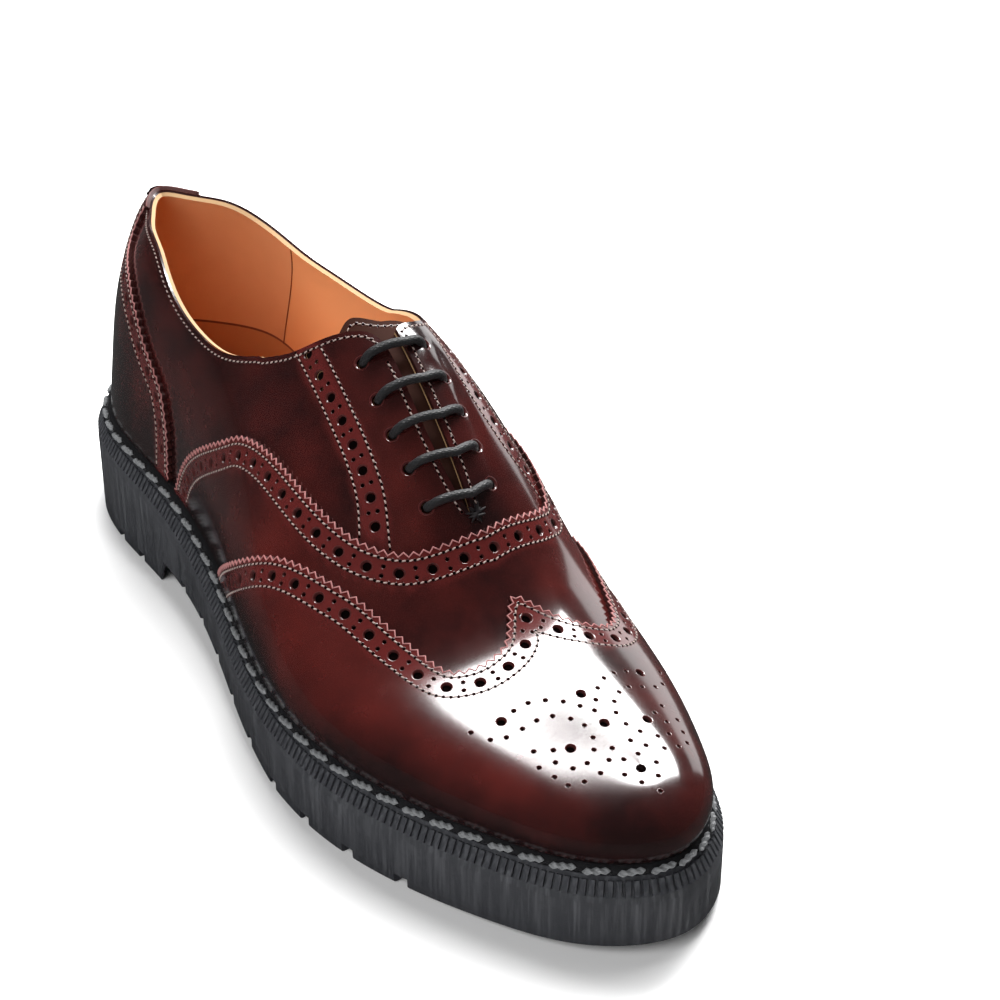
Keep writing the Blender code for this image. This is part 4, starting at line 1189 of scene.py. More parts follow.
def round_on_skin(points, lift):
    """Half axes and turn, in the pattern, of a mark that is round and 1 m in radius on the leather."""
    _, _, normal, per_x, per_y = axes_on_skin(np.asarray(points, float), lift)
    first = per_x / np.linalg.norm(per_x, axis=1, keepdims=True)
    second = np.cross(normal, first)
    pull = np.empty((len(points), 2, 2))
    pull[:, 0, 0], pull[:, 0, 1] = (per_x * first).sum(1), (per_y * first).sum(1)
    pull[:, 1, 0], pull[:, 1, 1] = (per_x * second).sum(1), (per_y * second).sum(1)
    axes, half, _ = np.linalg.svd(np.linalg.inv(pull))
    return half, np.arctan2(axes[:, 1, 0], axes[:, 0, 0])


def punches(name, points, radii, lift, bottom):
    """Marks for the punch: a point, a size and a turn for each hole, down to a share of the slab."""
    count = len(points)
    half, turned = round_on_skin(points, lift)
    made = as_object(name, np.c_[points, np.full(count, bottom)], [], shown=False)
    keep_vectors(made, turn=np.c_[np.zeros((count, 2)), turned],
                 size=np.c_[half * np.reshape(radii, (-1, 1)), np.full(count, (1 - bottom) * PUNCH_PAST)])
    return made


print("punch tree:", punch_tree.name, "with", len(punch_tree.nodes), "nodes")

# %% Burnish and strips
BLUSH = table(
    "x y wide tall strength",
    (0.545, 0.36, 0.075, 0.13, 0.55),
    (0.430, 0.20, 0.060, 0.16, 0.35),
    (0.690, 0.30, 0.090, 0.16, 0.55),
    (0.640, 0.72, 0.060, 0.16, 0.45),
    (0.580, 0.80, 0.060, 0.09, 0.20),
    (0.300, 0.40, 0.060, 0.16, 0.18),
    (0.860, 0.45, 0.080, 0.25, 0.30),
    (0.860, 1.55, 0.080, 0.25, 0.30),
    (0.600, 1.50, 0.150, 0.30, 0.35),
    (0.690, 1.70, 0.090, 0.16, 0.40),
)
FLAT_BLUSH = 0.20
LOW_SHADE, LOW_REACH = 0.34, 0.17           # painted shade: the leather is darker beside the welt
STRIP_SOFT = 0.0012


def blush_and_shade_at(x, y):
    """How far the red comes through the polish, less the painted shade beside the welt."""
    total = FLAT_BLUSH - LOW_SHADE * np.exp(-(np.minimum(y, 2 - y) / LOW_REACH) ** 2)
    for px, py, wide, tall, strength in zip(*BLUSH.values()):
        total += strength * np.exp(-((x - px) / wide) ** 2 - ((y - py) / tall) ** 2)
    return total


def nearest(points):
    """A lookup of the nearest of some points."""
    tree = KDTree(len(points))
    for i, co in enumerate(points):
        tree.insert(co, i)
    tree.balance()
    return tree


def strip_at(x, y, path, wide):
    """One within a distance of a path, fading over a soft edge."""
    tree = nearest(skin(path[:, 0], path[:, 1], 0.0))
    far = np.array([tree.find(co)[2] for co in skin(x, y, 0.0)])
    return np.clip((wide - far) / STRIP_SOFT + 0.5, 0, 1)


print("leather blush from", FLAT_BLUSH, "with", len(BLUSH["x"]), "red patches")

# %% Lasting
FACE_OUT, FACE_IN, CUT, HOLE, FLOOR, SLIT = range(6)    # order of a panel's finishes
WELD, THIN = 0.000012, 0.000008


def face_kind(face):
    """Which finish a face of the flat slab takes."""
    middle = face.calc_center_median()
    upright = abs(face.normal.z)
    if upright > 0.9:
        return FACE_OUT if middle.z > 0.9 else FACE_IN if middle.z < 0.1 else FLOOR
    return HOLE if upright > 0.02 else SLIT if middle.x > SLIT_TOP else CUT


def last_panel(panel, lift, wall, finishes, strips=()):
    """Wrap a cut slab onto the last, with its finishes and its strips of (path, width)."""
    bm = bmesh.new()
    bm.from_mesh(panel.data)
    tiny = 1e-5
    folds = [f for f in bm.faces if any(all(abs(v.co.x - end) < tiny for v in f.verts) for end in (0, 1))]
    bmesh.ops.delete(bm, geom=folds, context="FACES")
    bmesh.ops.delete(bm, geom=[v for v in bm.verts if not v.link_faces], context="VERTS")
    bmesh.ops.triangulate(bm, faces=bm.faces[:])
    bm.normal_update()
    x, y, z = np.array([v.co for v in bm.verts]).T
    for face in bm.faces:
        face.smooth = True
        face.material_index = face_kind(face)
    strip = np.zeros(len(x))
    for path, wide in strips:
        strip = np.maximum(strip, strip_at(x, y, path, wide))
    values = dict(ply=z, blush_and_shade=blush_and_shade_at(x, y), strip=strip, place=x, climb=y)
    keys = {name: bm.verts.layers.float.new(name) for name in values}
    where = skin(x, y, lift - wall * (1 - z))
    for i, vertex in enumerate(bm.verts):
        for name, key in keys.items():
            vertex[key] = values[name][i]
        vertex.co = where[i]
    bmesh.ops.remove_doubles(bm, verts=bm.verts[:], dist=WELD)
    bmesh.ops.dissolve_degenerate(bm, dist=THIN, edges=bm.edges[:])
    bmesh.ops.triangulate(bm, faces=bm.faces[:])
    bm.normal_update()
    mesh = panel.data
    mesh.materials.clear()
    for finish in finishes:
        mesh.materials.append(finish)
    bm.to_mesh(mesh)
    bm.free()
    shine_from_last(mesh, lift)


def column_of(rows, name, kind=float, wide=1):
    """One column of a mesh's rows as an array."""
    values = np.empty(len(rows) * wide, kind)
    rows.foreach_get(name, values)
    return values


def shine_from_last(mesh, lift):
    """Take the normals of the outer and inner faces from the last, the others from the faces."""
    x, y = (column_of(mesh.attributes[name].data, "value") for name in ("place", "climb"))
    smooth = skin_normal(x, y, lift)[column_of(mesh.loops, "vertex_index", int)]
    corners = column_of(mesh.polygons, "loop_total", int)
    kind = np.repeat(column_of(mesh.polygons, "material_index", int), corners)[:, None]
    flat = np.repeat(column_of(mesh.polygons, "normal", wide=3).reshape(-1, 3), corners, axis=0)
    normal = np.where(kind == FACE_OUT, smooth, np.where(kind == FACE_IN, -smooth, flat))
    mesh.normals_split_custom_set(normal.tolist())
    mesh.update()


leather_set = (leather_mat, lining_mat, raw_mat, hole_wall_shade_mat, hole_shade_mat, raw_mat)
print("a panel has", len(leather_set), "finishes")

# %% [markdown]
# ## Rows of holes
# A brogue's strip has a row of large holes with a pair of small ones, set across the strip, between
# every two.  Their distances were measured on the photo: the row runs about 5 mm inside the pinked
# edge and the large holes stand about 9 mm apart.

# %% Hole rows
BIG_HOLE, SMALL_HOLE = 0.00172, 0.00072
PAIR_ACROSS = 0.0013
HOLE_MARGIN = 0.03                          # climb that a row keeps from the feather
BLIND, FACING_BLIND, THROUGH = 0.25, 0.55, -0.3     # share of the slab where a hole ends
HOLE_SIDES, COUNTER_HOLE_SIDES, EYELET_SIDES = 16, 14, 20


def hole_row(path, lift, pitch, start):
    """Large holes at a pitch on a path, and pairs of small ones between them."""
    path = on_leather(path, HOLE_MARGIN)
    big = along_path(path, lift, pitch, start)
    double = along_path(path, lift, pitch / 2, start)[:2 * len(big) - 1]
    left = beside(double, -PAIR_ACROSS, lift, tidy=False)[1::2]
    right = beside(double, PAIR_ACROSS, lift, tidy=False)[1::2]
    radii = np.r_[np.full(len(big), BIG_HOLE), np.full(len(left) + len(right), SMALL_HOLE)]
    return np.r_[big, left, right], radii


vamp_holes = hole_row(seam_beside(VAMP_SEAM, 0.0050), VAMP_LIFT, pitch=0.0092, start=0.0010)
wing_holes = hole_row(seam_beside(WING_SEAM, 0.0048), WING_LIFT, pitch=0.0090, start=0.0039)
print("holes in vamp and wing rows:", len(vamp_holes[0]), len(wing_holes[0]))

# %% [markdown]
# ## Vamp
# The vamp lies over the quarters and runs on under the wing cap.  One knife follows its pinked edge and a
# second takes away what the wing hides, so that no thick leather is buried there.

# %% Vamp
PAST_FEATHER, KNIFE_BACK = 0.05, 0.006
PAST_TOE = [(1.1, 2 + PAST_FEATHER), (1.1, -PAST_FEATHER)]
STRIP_WIDE = 0.0086


def edge_knife(name, teeth):
    """A knife along a pinked seam, open towards the toe."""
    low = teeth[0, 0] - KNIFE_BACK, -PAST_FEATHER
    high = teeth[-1, 0] - KNIFE_BACK, 2 + PAST_FEATHER
    return prism(name, np.r_[[low], teeth, [high], PAST_TOE])


vamp = blank("vamp_panel", 0.28, 1.0)
vamp_knife = edge_knife("vamp_knife", vamp_teeth)
hidden_knife = edge_knife("hidden_knife", wing_edge + (VAMP_UNDERLAP, 0))
vamp_punch = punches("vamp_punch", *vamp_holes, VAMP_LIFT, BLIND)
trim(vamp, vamp_knife, "INTERSECT")
trim(vamp, hidden_knife, "DIFFERENCE")
apply_tree(vamp, punch_tree, Punches=vamp_punch, Sides=HOLE_SIDES, Finish=leather_mat)
settled(vamp)
last_panel(vamp, VAMP_LIFT, OVERLAY_WALL, leather_set, [(vamp_edge, STRIP_WIDE)])
drop(vamp_knife, hidden_knife, vamp_punch)
finish_piece(vamp, "leather", "vamp")

# %% [markdown]
# ## Medallion
# The toe carries a punched figure that is the same on both sides of the toe's line.  It is charted
# in millimetres from that line, and each mark is then looked up on the skin from above.

# %% Medallion chart
MEDALLION_LINE = 0.0043
BIG_MARK, SMALL_MARK = 1.55, 0.78
MEDALLION = table(
    "across along",
    (0.0, 257.3), (0.0, 268.2), (0.0, 285.0), (22.0, 253.2), (11.9, 270.8),
    (5.4, 257.3), (9.2, 254.4), (13.3, 253.0), (17.7, 252.6), (30.0, 251.2),
    (5.0, 266.6), (6.9, 263.0), (10.3, 260.0), (14.5, 258.7), (18.8, 258.6), (23.4, 258.4), (27.0, 256.5),
    (2.4, 260.8), (0.0, 263.6), (5.2, 270.8), (7.2, 274.2), (2.9, 276.1),
    (15.9, 268.6), (20.1, 265.8), (17.4, 272.0), (21.5, 270.8), (10.9, 276.9), (14.8, 276.3), (20.0, 275.6),
    (5.7, 279.0), (2.2, 280.6), (9.9, 281.2), (14.7, 281.0), (18.5, 279.5),
    (4.9, 284.9), (2.6, 289.0), (0.0, 293.4),
)
MEDALLION_BIG = 5       # the first rows are the large marks
TIP_MARK = 2            # lies where the halves of the pattern meet, so a dark disc of painted shade stands for its hole


def from_above(across, along):
    """Pattern points of marks given in plan."""
    gx, gy = np.meshgrid(np.linspace(0.6, 0.999, 260), np.linspace(0.3, 1.7, 380), indexing="ij")
    tree = nearest(skin(gx.ravel(), gy.ravel(), WING_LIFT) * (1, 1, 0))
    spots = to_world(np.c_[across, along, np.zeros(len(across))])
    found = [tree.find(spot)[1] for spot in spots]
    return np.c_[gx.ravel()[found], gy.ravel()[found]]


side_marks = MEDALLION["across"] > 0
across = np.r_[MEDALLION["across"], -MEDALLION["across"][side_marks]] / 1000 + MEDALLION_LINE
along = np.r_[MEDALLION["along"], MEDALLION["along"][side_marks]] / 1000
radius = np.where(np.arange(len(side_marks)) < MEDALLION_BIG, BIG_MARK, SMALL_MARK)
medallion_radii = np.r_[radius, radius[side_marks]] / 1000
medallion_points = from_above(across, along)
print("medallion marks:", len(medallion_points))

# %% [markdown]
# ## Wing cap
# The wing is cut and punched as the vamp was, with the strip's row and the medallion in one pass, so
# that the punch meets each hole's own slant on the toe.

# %% Wing cap
wing = blank("wing_panel", 0.41, 1.0)
wing_knife = edge_knife("wing_knife", wing_teeth)
punched = np.arange(len(medallion_points)) != TIP_MARK
wing_punch = punches("wing_punch", np.r_[wing_holes[0], medallion_points[punched]],
                     np.r_[wing_holes[1], medallion_radii[punched]], WING_LIFT, BLIND)
trim(wing, wing_knife, "INTERSECT")
apply_tree(wing, punch_tree, Punches=wing_punch, Sides=HOLE_SIDES, Finish=leather_mat)
settled(wing)
last_panel(wing, WING_LIFT, OVERLAY_WALL, leather_set, [(wing_edge, STRIP_WIDE)])
drop(wing_knife, wing_punch)
finish_piece(wing, "leather", "wing_cap")

# %% [markdown]
# ## Upper
# The quarters close over the throat with the facing's row of holes and five pairs of eyelets; the
# lining is the inner face of the same wall.  The rim is folded, so that its outer half is leather and
# its inner half the lining's cut edge.

# %% Facing and throat
FACING_HOLES = table(
    "x y", (0.461, 0.755), (0.482, 0.745), (0.504, 0.738), (0.525, 0.732), (0.545, 0.726), (0.564, 0.717),
    (0.581, 0.702), (0.598, 0.673))
FACING_OUT = table(
    "x y", (0.450, 0.731), (0.476, 0.718), (0.498, 0.708), (0.520, 0.700), (0.540, 0.694), (0.559, 0.683),
    (0.577, 0.663), (0.595, 0.622))
FACING_IN = table(
    "x y", (0.470, 0.7927), (0.489, 0.785), (0.511, 0.776), (0.532, 0.770), (0.553, 0.764), (0.571, 0.755),
    (0.589, 0.736), (0.615, 0.680))
INNER_FACING_IN = table(
    "x y", (0.488, 1.170), (0.5225, 1.1665), (0.5497, 1.178), (0.5718, 1.215), (0.5933, 1.285),
    (0.6097, 1.374), (0.6169, 1.417))
FACING_WIDE = 0.0081

# The outer facing ends in a round corner, and the slit lies a little to its side of the ridge
OUTER_TOP = table(
    "x y", (0.4150, 0.655), (0.4396, 0.7076), (0.4575, 0.7663), (0.4725, 0.8349), (0.4818, 0.8821),
    (0.4904, 0.9221), (0.4982, 0.9420), (0.5068, 0.9495))
SLIT_OUTER = table(
    "x y", (0.5068, 0.9495), (0.5250, 0.9490), (0.5400, 0.9455), (0.5650, 0.9430), (0.5900, 0.9480),
    (0.6090, 0.9620), (0.6190, 0.9800))
SLIT_INNER = table(
    "x y", (0.4975, 1.0120), (0.5150, 1.0040), (0.5410, 0.9980), (0.5670, 0.9970), (0.5900, 0.9960),
    (0.6080, 0.9930), (0.6190, 0.9880))
INNER_TOP = table(
    "x y", (0.4150, 1.319), (0.4420, 1.268), (0.4640, 1.225), (0.4800, 1.185), (0.4885, 1.140),
    (0.4930, 1.090), (0.4950, 1.040), (0.4975, 1.0120))


def smooth_path(rows, steps=60):
    """A smooth path through a few charted points."""
    points = np.c_[rows["x"], rows["y"]]
    knots = np.arange(len(points), dtype=float)
    return spline(knots, points)(np.linspace(0, len(points) - 1, steps))


def mirrored(path):
    """The same path on the inner side."""
    return np.c_[path[:, 0], 2 - path[:, 1]]


def opening_outline(steps=80, corner_steps=40):
    """Topline and throat slit in the pattern: outer side, slit, inner side."""
    fine = np.linspace(0, OUTER_TOP["x"][0], steps)
    lateral = np.c_[fine, column_spline(TOPLINE, "place", "lateral")(fine)]
    medial = np.c_[fine, 2 - column_spline(TOPLINE, "place", "medial")(fine)]
    outer = np.r_[lateral[:-1], smooth_path(OUTER_TOP, corner_steps)]
    inner = np.r_[medial[:-1], smooth_path(INNER_TOP, corner_steps)]
    return outer, np.r_[smooth_path(SLIT_OUTER)[1:], smooth_path(SLIT_INNER)[::-1][:-1]], inner


facing_row = smooth_path(FACING_HOLES)
inner_facing = smooth_path(INNER_FACING_IN)
inner_facing_row = beside(inner_facing, -FACING_WIDE / 2, UPPER_LIFT)
outer_top, slit, inner_top = opening_outline()
print("points of the opening:", len(outer_top), len(slit), len(inner_top))

# %% Upper
PAST_HEEL = -0.1
FACING_STRIP = 0.0042
facing_rows = [hole_row(row, UPPER_LIFT, pitch=0.0084, start=0.0004)
               for row in (facing_row, inner_facing_row)]
facing_holes = [np.concatenate(part) for part in zip(*facing_rows)]
outer_eyes = np.c_[EYELETS["place"], EYELETS["lateral"]]
inner_eyes = np.c_[EYELETS["medial_place"], 2 - EYELETS["medial"]]
eyes = np.r_[outer_eyes, inner_eyes]
upper = blank("upper_panel", 0.0, 1.0)
opening_knife = prism("opening_knife", np.r_[
    [(PAST_HEEL, outer_top[0, 1])], outer_top, slit, inner_top[::-1], [(PAST_HEEL, inner_top[0, 1])]])
facing_punch = punches("facing_punch", *facing_holes, UPPER_LIFT, FACING_BLIND)
eyelet_punch = punches("eyelet_punch", eyes, np.full(len(eyes), EYELET_RADIUS), UPPER_LIFT, THROUGH)
trim(upper, opening_knife, "DIFFERENCE")
apply_tree(upper, punch_tree, Punches=facing_punch, Sides=HOLE_SIDES, Finish=leather_mat)
apply_tree(upper, punch_tree, Punches=eyelet_punch, Sides=EYELET_SIDES, Finish=leather_mat)
settled(upper)
last_panel(upper, UPPER_LIFT, UPPER_WALL, (leather_mat, lining_mat, rim_mat, hole_wall_shade_mat, hole_shade_mat, slit_mat),
           [(facing_row, FACING_STRIP), (inner_facing_row, FACING_STRIP)])
drop(facing_punch, eyelet_punch)
finish_piece(upper, "leather", "upper")

# %% [markdown]
# ## Counter, back tab and tongue
# The counter goes round the heel, so its knife has a half on each side and the fold at the back stays
# whole.  The tab lies across the top of the back seam.  The tongue lies below the facings, and only
# its top edge and the slit show it.

# %% Counter
COUNTER_TOP = 0.80      # above this climb the counter runs under the tab
COUNTER_STRIP = 0.0085
KNIFE_DROP = 0.1
climb = np.linspace(0.0, COUNTER_SEAM["climb"][-1], 120)
counter_edge = np.c_[column_spline(COUNTER_SEAM, "climb", "place")(climb) - COUNTER_INSET, climb]
visible = counter_edge[counter_edge[:, 1] < COUNTER_TOP]
counter_row = beside(visible, -0.0046, COUNTER_LIFT)
outer_holes, radii = hole_row(counter_row, COUNTER_LIFT, pitch=0.0090, start=0.006)
counter_holes = np.r_[outer_holes, mirrored(outer_holes)], np.r_[radii, radii]
counter = blank("counter_panel", 0.0, 0.30)
counter_teeth = gimped(counter_edge, COUNTER_LIFT)
first, last = counter_teeth[0], counter_teeth[-1]
outer_half = np.r_[[(PAST_HEEL, first[1] - KNIFE_DROP), (first[0], first[1] - KNIFE_DROP)], counter_teeth,
                   [(PAST_HEEL, last[1])]]
counter_knife = prism("counter_knife", outer_half, mirrored(outer_half))
counter_punch = punches("counter_punch", *counter_holes, COUNTER_LIFT, BLIND)
trim(counter, counter_knife, "INTERSECT")
trim(counter, opening_knife, "DIFFERENCE")
apply_tree(counter, punch_tree, Punches=counter_punch, Sides=COUNTER_HOLE_SIDES, Finish=leather_mat)
settled(counter)
last_panel(counter, COUNTER_LIFT, OVERLAY_WALL, leather_set,
           [(counter_edge, COUNTER_STRIP), (mirrored(counter_edge), COUNTER_STRIP)])
drop(counter_knife, counter_punch)
finish_piece(counter, "leather", "counter")

# %% Back tab
TAB_TOP, TAB_FOLD = TOPLINE["lateral"][0], 0.028


def across_back(name, climb):
    """A knife over the back of the heel, from a climb on one side to the same on the other."""
    x = -PAST_HEEL
    return prism(name, [(-x, climb), (x, climb), (x, 2 - climb), (-x, 2 - climb)])


tab = blank("back_tab_panel", 0.0, TAB_PLACE / 2, cell_x=1 / 400)
tab_knife = across_back("tab_knife", TAB_TOP - TAB_BELOW)
tab_gap = across_back("tab_gap", TAB_TOP - TAB_FOLD)
trim(tab, tab_knife, "INTERSECT")
trim(tab, tab_gap, "DIFFERENCE")
settled(tab)
last_panel(tab, TAB_LIFT, TAB_WALL, (leather_mat, lining_mat) + (leather_mat,) * 4)
drop(tab_knife, tab_gap)
finish_piece(tab, "leather", "back_tab")

# %% Tongue
TONGUE_EDGE = table(
    "x y", (0.4850, 0.780), (0.4760, 0.820), (0.4715, 0.860), (0.4700, 0.900), (0.4735, 0.930),
    (0.4790, 0.960), (0.4840, 1.000), (0.4860, 1.060), (0.4880, 1.120), (0.4920, 1.200))
TONGUE_CORNER, PAST_TONGUE = 0.52, 0.8
tongue = blank("tongue_panel", 0.46, TONGUE_END, cell_x=1 / 240)
tongue_edge = smooth_path(TONGUE_EDGE)
tongue_knife = prism("tongue_knife", np.r_[
    [(TONGUE_CORNER, TONGUE_SIDE)], tongue_edge,
    [(TONGUE_CORNER, 2 - TONGUE_SIDE), (PAST_TONGUE, 2 - TONGUE_SIDE), (PAST_TONGUE, TONGUE_SIDE)]])
trim(tongue, tongue_knife, "INTERSECT")
settled(tongue)
last_panel(tongue, TONGUE_LIFT, TONGUE_WALL, (tongue_mat, *leather_set[1:]))
drop(tongue_knife, opening_knife)
finish_piece(tongue, "leather", "tongue")

# %% [markdown]
# ## Small shapes in rows
# Stitches, needle holes and the pressed lips of the holes come in thousands.  They could be modelled one
# after another, but a Geometry Nodes tree lays one small shape on every marked point and turns it along
# the row, so a row needs only its points, the step ahead and the way out of the leather.

# %% Row tree
row_tree, given, sent = geometry_tree(
    "lay_in_rows", [("Shape", "NodeSocketObject"), ("Finish", "NodeSocketMaterial")])
shape = put(row_tree, "GeometryNodeObjectInfo", {"Object": given.outputs["Shape"]})
turned = put(row_tree, "FunctionNodeAxesToRotation", {
    "Primary Axis": named(row_tree, "outward"), "Secondary Axis": named(row_tree, "ahead")},
             primary_axis="Z", secondary_axis="X")
held = put(row_tree, "GeometryNodeInstanceOnPoints", {
    "Points": given.outputs["Geometry"], "Instance": shape.outputs["Geometry"],
    "Rotation": turned.outputs[0], "Scale": named(row_tree, "size")})
real = put(row_tree, "GeometryNodeRealizeInstances", {"Geometry": held.outputs[0]})
send_out(row_tree, real.outputs[0], given, sent)


def lay(name, shape, finish, slot, points, ahead, outward, size):
    """Lay a shape on points and make it a piece."""
    made = as_object(name, points, [])
    keep_vectors(made, ahead=ahead, outward=outward, size=size)
    apply_tree(made, row_tree, Shape=shape, Finish=finish)
    settled(made)
    finish_piece(made, slot)


print("row tree:", row_tree.name, "with", len(row_tree.nodes), "nodes")


# %% Shapes to lay
def turned_angles(sides):
    """Even angles round a turned shape."""
    return np.arange(sides) * 2 * np.pi / sides


def shape_from(name, rings, sides):
    """A closed turned shape along X from rows of (x, radius)."""
    verts = [(x, r * math.cos(a), r * math.sin(a)) for x, r in rings for a in turned_angles(sides)]
    made = as_object(name, verts, ring_quads(len(rings), sides) + caps(len(rings), sides), shown=False)
    shade_smooth(made)
    face_outward(made)
    return made


def ring_from(name, profile, around):
    """An open ring round Z from rows of (radius, height), facing up."""
    verts = [(r * math.cos(a), r * math.sin(a), h) for r, h in profile for a in turned_angles(around)]
    made = as_object(name, verts, ring_quads(len(profile), around), shown=False)
    shade_smooth(made)
    return made


stitch_shape = shape_from("stitch_shape", [(-0.5, 0.22), (-0.3, 0.46), (0.3, 0.46), (0.5, 0.22)], 6)
disc_shape = shape_from("disc_shape", [(-0.02, 0.5), (0.02, 0.5)], 8)
for vertex in disc_shape.data.vertices:
    vertex.co = (vertex.co.y, vertex.co.z, vertex.co.x)
lip_shape = ring_from("lip_shape", [(1.10, -0.02), (0.99, 0.02), (0.86, -0.09), (0.76, -0.30)], 14)
needle_shape = ring_from("needle_shape", [(1.25, -0.05), (1.0, 0.16), (0.75, 0.0)], 8)
print("a stitch has", len(stitch_shape.data.polygons), "faces, a lip", len(lip_shape.data.polygons))

# %% Lips of the holes
ASKEW = (0.3, 0.5, 0.8)                     # a way that never points straight out of the leather
TIP_WIDE, TIP_LIFT, TIP_THICK = 1.86 * BIG_MARK / 1000, 0.00008, 0.002


def lip_rings(name, lift, points, radii):
    """Pressed lips round punched holes."""
    where, out = skin(points[:, 0], points[:, 1], lift), skin_normal(points[:, 0], points[:, 1], lift)
    lay(name, lip_shape, pressed_mat, "leather", where, np.cross(out, ASKEW), out, np.c_[radii, radii, radii])


lip_rings("vamp_hole_lips", VAMP_LIFT, *vamp_holes)
lip_rings("wing_hole_lips", WING_LIFT, np.r_[wing_holes[0], medallion_points],
          np.r_[wing_holes[1], medallion_radii])
lip_rings("facing_hole_lips", UPPER_LIFT, *facing_holes)
lip_rings("counter_hole_lips", COUNTER_LIFT, *counter_holes)
tip = medallion_points[TIP_MARK:TIP_MARK + 1]
tip_out = skin_normal(tip[:, 0], tip[:, 1], WING_LIFT)
# A dark disc of painted shade stands for the hole at the toe's tip
lay("tip_mark", disc_shape, hole_shade_mat, "leather", skin(tip[:, 0], tip[:, 1], WING_LIFT + TIP_LIFT),
    np.cross(tip_out, ASKEW), tip_out, (TIP_WIDE, TIP_WIDE, TIP_THICK))

# %% [markdown]
# ## Pinked edges
# The teeth are cut through dyed leather, so their outline shows as a thin pale zigzag.  A painted line
# would need a map; here a fine thread of geometry follows the points of the teeth.

# %% Pale line along the teeth
LINE_RADIUS, LINE_SUNK, LINE_MARGIN = 0.00027, 0.00006, 0.01
line_tree, given, sent = geometry_tree(
    "line_along", [("Radius", "NodeSocketFloat"), ("Finish", "NodeSocketMaterial")])
run = put(line_tree, "GeometryNodeMeshToCurve", {"Mesh": given.outputs["Geometry"]})
ring = put(line_tree, "GeometryNodeCurvePrimitiveCircle", {
    "Resolution": 5, "Radius": given.outputs["Radius"]})
swept = put(line_tree, "GeometryNodeCurveToMesh", {
    "Curve": run.outputs[0], "Profile Curve": ring.outputs[0], "Fill Caps": True})
real = put(line_tree, "GeometryNodeRealizeInstances", {"Geometry": swept.outputs[0]})
send_out(line_tree, real.outputs[0], given, sent)


def pale_line(name, lift, *runs):
    """A thin pale line on the teeth of one or more pinked edges."""
    points, edges = [], []
    for teeth in runs:
        teeth = teeth[(teeth[:, 1] > LINE_MARGIN) & (teeth[:, 1] < 2 - LINE_MARGIN)]
        start = sum(map(len, points))
        points.append(skin(teeth[:, 0], teeth[:, 1], lift - LINE_SUNK))
        edges += [(start + i, start + i + 1) for i in range(len(teeth) - 1)]
    made = as_object(name, np.concatenate(points), [], edges=edges)
    apply_tree(made, line_tree, Radius=LINE_RADIUS, Finish=pinked_mat)
    settled(made)
    finish_piece(made, "leather")


pale_line("vamp_pinking", VAMP_LIFT, vamp_teeth)
pale_line("wing_pinking", WING_LIFT, wing_teeth)
counter_line = counter_teeth[counter_teeth[:, 1] < COUNTER_TOP]
pale_line("counter_pinking", COUNTER_LIFT, counter_line, mirrored(counter_line))

# %% [markdown]
# ## Stitching
# Two rows of short pale stitches hold every panel, one near its teeth and one below its holes.  Each
# stitch leans a little and dips into a needle hole with a pressed lip; the hole is a dark disc of painted
# shade.

# %% Stitch rows
STITCH_PITCH, STITCH_LONG, STITCH_WIDE = 0.00200, 0.00110, 0.00052
STITCH_FLAT, STITCH_LEAN, STITCH_MARGIN = 0.8, 0.24, 0.015
STITCH_LIFT, NEEDLE_LIFT = 0.00006, 0.00003
NEEDLE_SIZE, NEEDLE_LIP = (0.00105, 0.00105, 0.0008), 0.00050


def unit(rows):
    """Rows of vectors, each one long."""
    return rows / np.linalg.norm(rows, axis=1, keepdims=True)


def stitch_points(rows):
    """Points, steps ahead and normals of every stitch in rows of (path, lift), and its needle holes."""
    parts = []
    for path, lift in rows:
        spots = along_path(on_leather(path, STITCH_MARGIN), lift, STITCH_PITCH)
        point, _, normal, _, _ = axes_on_skin(spots, lift)
        step, out = unit(point[1:] - point[:-1]), unit(normal[1:] + normal[:-1])
        lean = step + STITCH_LEAN * np.cross(out, step)
        parts.append(((point[1:] + point[:-1]) / 2, lean, out, point, normal))
    return [np.concatenate(part) for part in zip(*parts)]


def sew(name, rows):
    """Stitches, their needle holes as dark discs of painted shade, and the holes' lips as three pieces."""
    points, ahead, normal, holes, out = stitch_points(rows)
    side = np.cross(out, ASKEW)
    lay(name + "_stitches", stitch_shape, thread_mat, "leather", points + normal * STITCH_LIFT, ahead, normal,
        (STITCH_LONG, STITCH_WIDE, STITCH_WIDE * STITCH_FLAT))
    # Needle holes: dark discs of painted shade
    lay(name + "_needle_holes", disc_shape, hole_shade_mat, "leather", holes + out * NEEDLE_LIFT, side, out,
        NEEDLE_SIZE)
    lay(name + "_needle_lips", needle_shape, pressed_mat, "leather", holes, side, out, NEEDLE_LIP)


def seam_rows(rows, lift, offsets):
    """Stitch rows of a seam at their distances from the edge."""
    return [(seam_beside(rows, offset, lift), lift) for offset in offsets]


sew("vamp", seam_rows(VAMP_SEAM, VAMP_LIFT, (0.0016, 0.0080)))
sew("wing", seam_rows(WING_SEAM, WING_LIFT, (0.0015, 0.0079)))

# %% Facing, throat and topline stitches
THROAT_ROW, TOPLINE_ROW = 0.0019, 0.0017    # distances from the edge
facing_seams = [smooth_path(FACING_OUT), smooth_path(FACING_IN), inner_facing,
                beside(inner_facing, -FACING_WIDE, UPPER_LIFT),
                beside(smooth_path(SLIT_OUTER)[6:-3], THROAT_ROW, UPPER_LIFT),
                beside(smooth_path(SLIT_INNER)[4:-3], -THROAT_ROW, UPPER_LIFT)]
sew("facing", [(path, UPPER_LIFT) for path in facing_seams])
top_seams = beside(outer_top, TOPLINE_ROW, UPPER_LIFT), beside(inner_top, -TOPLINE_ROW, UPPER_LIFT)
sew("topline", [(path, UPPER_LIFT) for path in top_seams])

